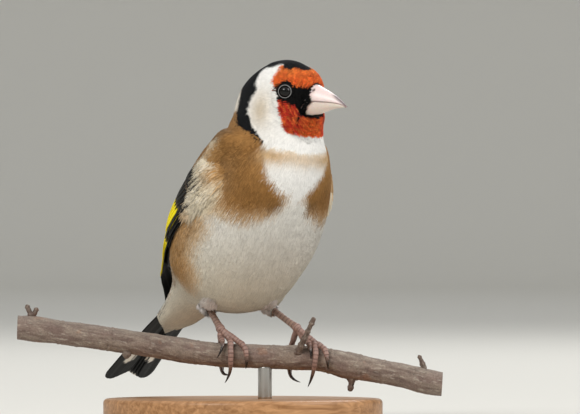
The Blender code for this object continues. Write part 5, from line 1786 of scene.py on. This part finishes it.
def make_studio():
    """A pale seamless sweep all round, far enough off that every camera stands inside it."""
    curve = [
        (FLOOR_RADIUS + FLOOR_CURVE * math.sin(t), FLOOR_CURVE - FLOOR_CURVE * math.cos(t))
        for t in np.radians(np.linspace(0, 90, 14))
    ]
    profile = [(0.02, 0.0), (0.5, 0.0)] + curve + [(FLOOR_RADIUS + FLOOR_CURVE, WALL_HEIGHT)]
    sides = 96
    turn = circle(sides)
    points = [(out * math.cos(t), out * math.sin(t), height) for out, height in profile for t in turn]
    quads, _ = ring_quads(len(profile), sides, rows)
    mesh = bpy.data.meshes.new("studio_floor")
    mesh.from_pydata(points, [], quads.tolist() + [tuple(range(sides))])
    mesh.shade_smooth()
    # Seamless paper: matt, warm white
    paper = {"Roughness": 0.9, "Specular_IOR_Level": 0.1, "Base_Color": rgba("#D9D7D0")}
    mesh.materials.append(new_material("matt_paper", **paper)[0])
    floor = bpy.data.objects.new("studio_floor", mesh)
    bpy.context.scene.collection.objects.link(floor)


LIGHTS = (
    # name, size in metres, watts, metres to the view's right, towards the viewer and up, and colour
    ("key", 0.8, 17.5, (-0.75, 1.35, 1.15), (1.0, 0.98, 0.95)),
    ("fill", 0.9, 12, (1.3, 0.5, 0.95), (1, 1, 1)),
    ("back", 0.8, 7, (0.4, -1.2, 1.1), (1, 1, 1)),
)
LIT_MIDDLE = Vector((0.0, 0.0, 0.06))
SKY, SKY_STRENGTH = (0.95, 0.97, 1.0, 1), 0.66
# The photograph's view in millimetres: its width and distance at the twig, and its middle across and up
VIEW_WIDTH, VIEW_DISTANCE, VIEW_MIDDLE = 157.8, 2500, (12.8, 58.1)
SENSOR = 36


def add_light(name, size, power, place, colour):
    light = bpy.data.lights.new(name, "AREA")
    light.shape, light.size, light.energy, light.color = "DISK", size, power, colour
    obj = bpy.data.objects.new(name, light)
    obj.location = place
    obj.rotation_euler = (LIT_MIDDLE - Vector(place)).to_track_quat("-Z", "Y").to_euler()
    bpy.context.scene.collection.objects.link(obj)


def make_lights_and_camera():
    """Soft lights from three sides, a pale sky, and the camera where the photograph's was."""
    scene = bpy.context.scene
    scene.view_settings.view_transform = "Standard"
    world = bpy.data.worlds.new("studio")
    world.use_nodes = True
    sky = world.node_tree.nodes["Background"]
    sky.inputs["Color"].default_value, sky.inputs["Strength"].default_value = SKY, SKY_STRENGTH
    scene.world = world
    for name, size, power, (right, near, up), colour in LIGHTS:
        place = VIEW_RIGHT * right - VIEW_AWAY * near + np.array((0, 0, up))
        add_light(name, size, power, place, colour)
    camera = bpy.data.cameras.new("camera")
    camera.sensor_width = SENSOR
    camera.lens = SENSOR * VIEW_DISTANCE / VIEW_WIDTH
    camera.clip_end = 20
    eye = bpy.data.objects.new("camera", camera)
    across, height = VIEW_MIDDLE
    eye.location = (VIEW_RIGHT * across - VIEW_AWAY * VIEW_DISTANCE + np.array((0, 0, height))) * MM
    eye.rotation_euler = (math.radians(90), 0, math.radians(TWIG_TURN))
    scene.collection.objects.link(eye)
    scene.camera = eye


# Putting it together

SIDES = (("left", 1), ("right", -1))


def own(piece, slot, *nodes):
    """Puts a piece on the body, in the place of the nodes that it stands for. slot is not used."""
    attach(piece, "root")
    if nodes:
        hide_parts(*nodes)


def main():
    make_studio()
    make_lights_and_camera()
    skin_shape = make_skin()
    points, quads, triangles = skin_shape.joined()
    tree = BVHTree.FromPolygons(points.tolist(), quads.tolist() + triangles.tolist())
    own(skin_shape.build("skin", DOWN), "body_feathers", "head", "neck", "torso")
    slots = {"face": "face_feathers", "cheek": "face_feathers", "neck": "neck_feathers"}
    for name, shape in make_coat(tree):
        own(shape.build(name, FEATHER), slots.get(name.split("_")[0], "body_feathers"))
    for side, sign in SIDES:
        fringes = make_wing_fringes(tree, sign)
        own(fringes.build(f"side_and_shoulder_feathers_{side}", FEATHER), "body_feathers")
    own(make_shin_tufts(tree).build("shin_feathers", FEATHER), "body_feathers")
    for side, sign in SIDES:
        own(make_wing(f"wing_feathers_{side}", sign), "wing_feathers", f"wing_{side}")
    own(make_tail(), "tail_feathers", "tail")
    for side, sign in SIDES:
        own(make_eye(f"eyeball_{side}", sign), "eye", f"eye_{side}")
    own(make_lids(), "face_feathers")
    own(make_bill("upper_mandible", True), "bill_horn", "bill_upper")
    own(make_bill("lower_mandible", False), "bill_horn", "bill_lower")
    own(make_bristles(), "face_feathers")
    for side, _ in SIDES:
        own(make_leg(side), "leg_scales", f"leg_{side}")
        toes, claws = make_foot(side)
        own(toes, "leg_scales", f"foot_{side}")
        for claw, (name, _, _) in zip(claws, TOES[side]):
            own(claw, "claw_horn", f"claw_{side}_{name}")
    own(make_twig(), "bark", "perch")
    base, rod = make_stand()
    own(base, "base_wood", "stand_base")
    own(rod, "rod_steel", "stand_rod")


main()
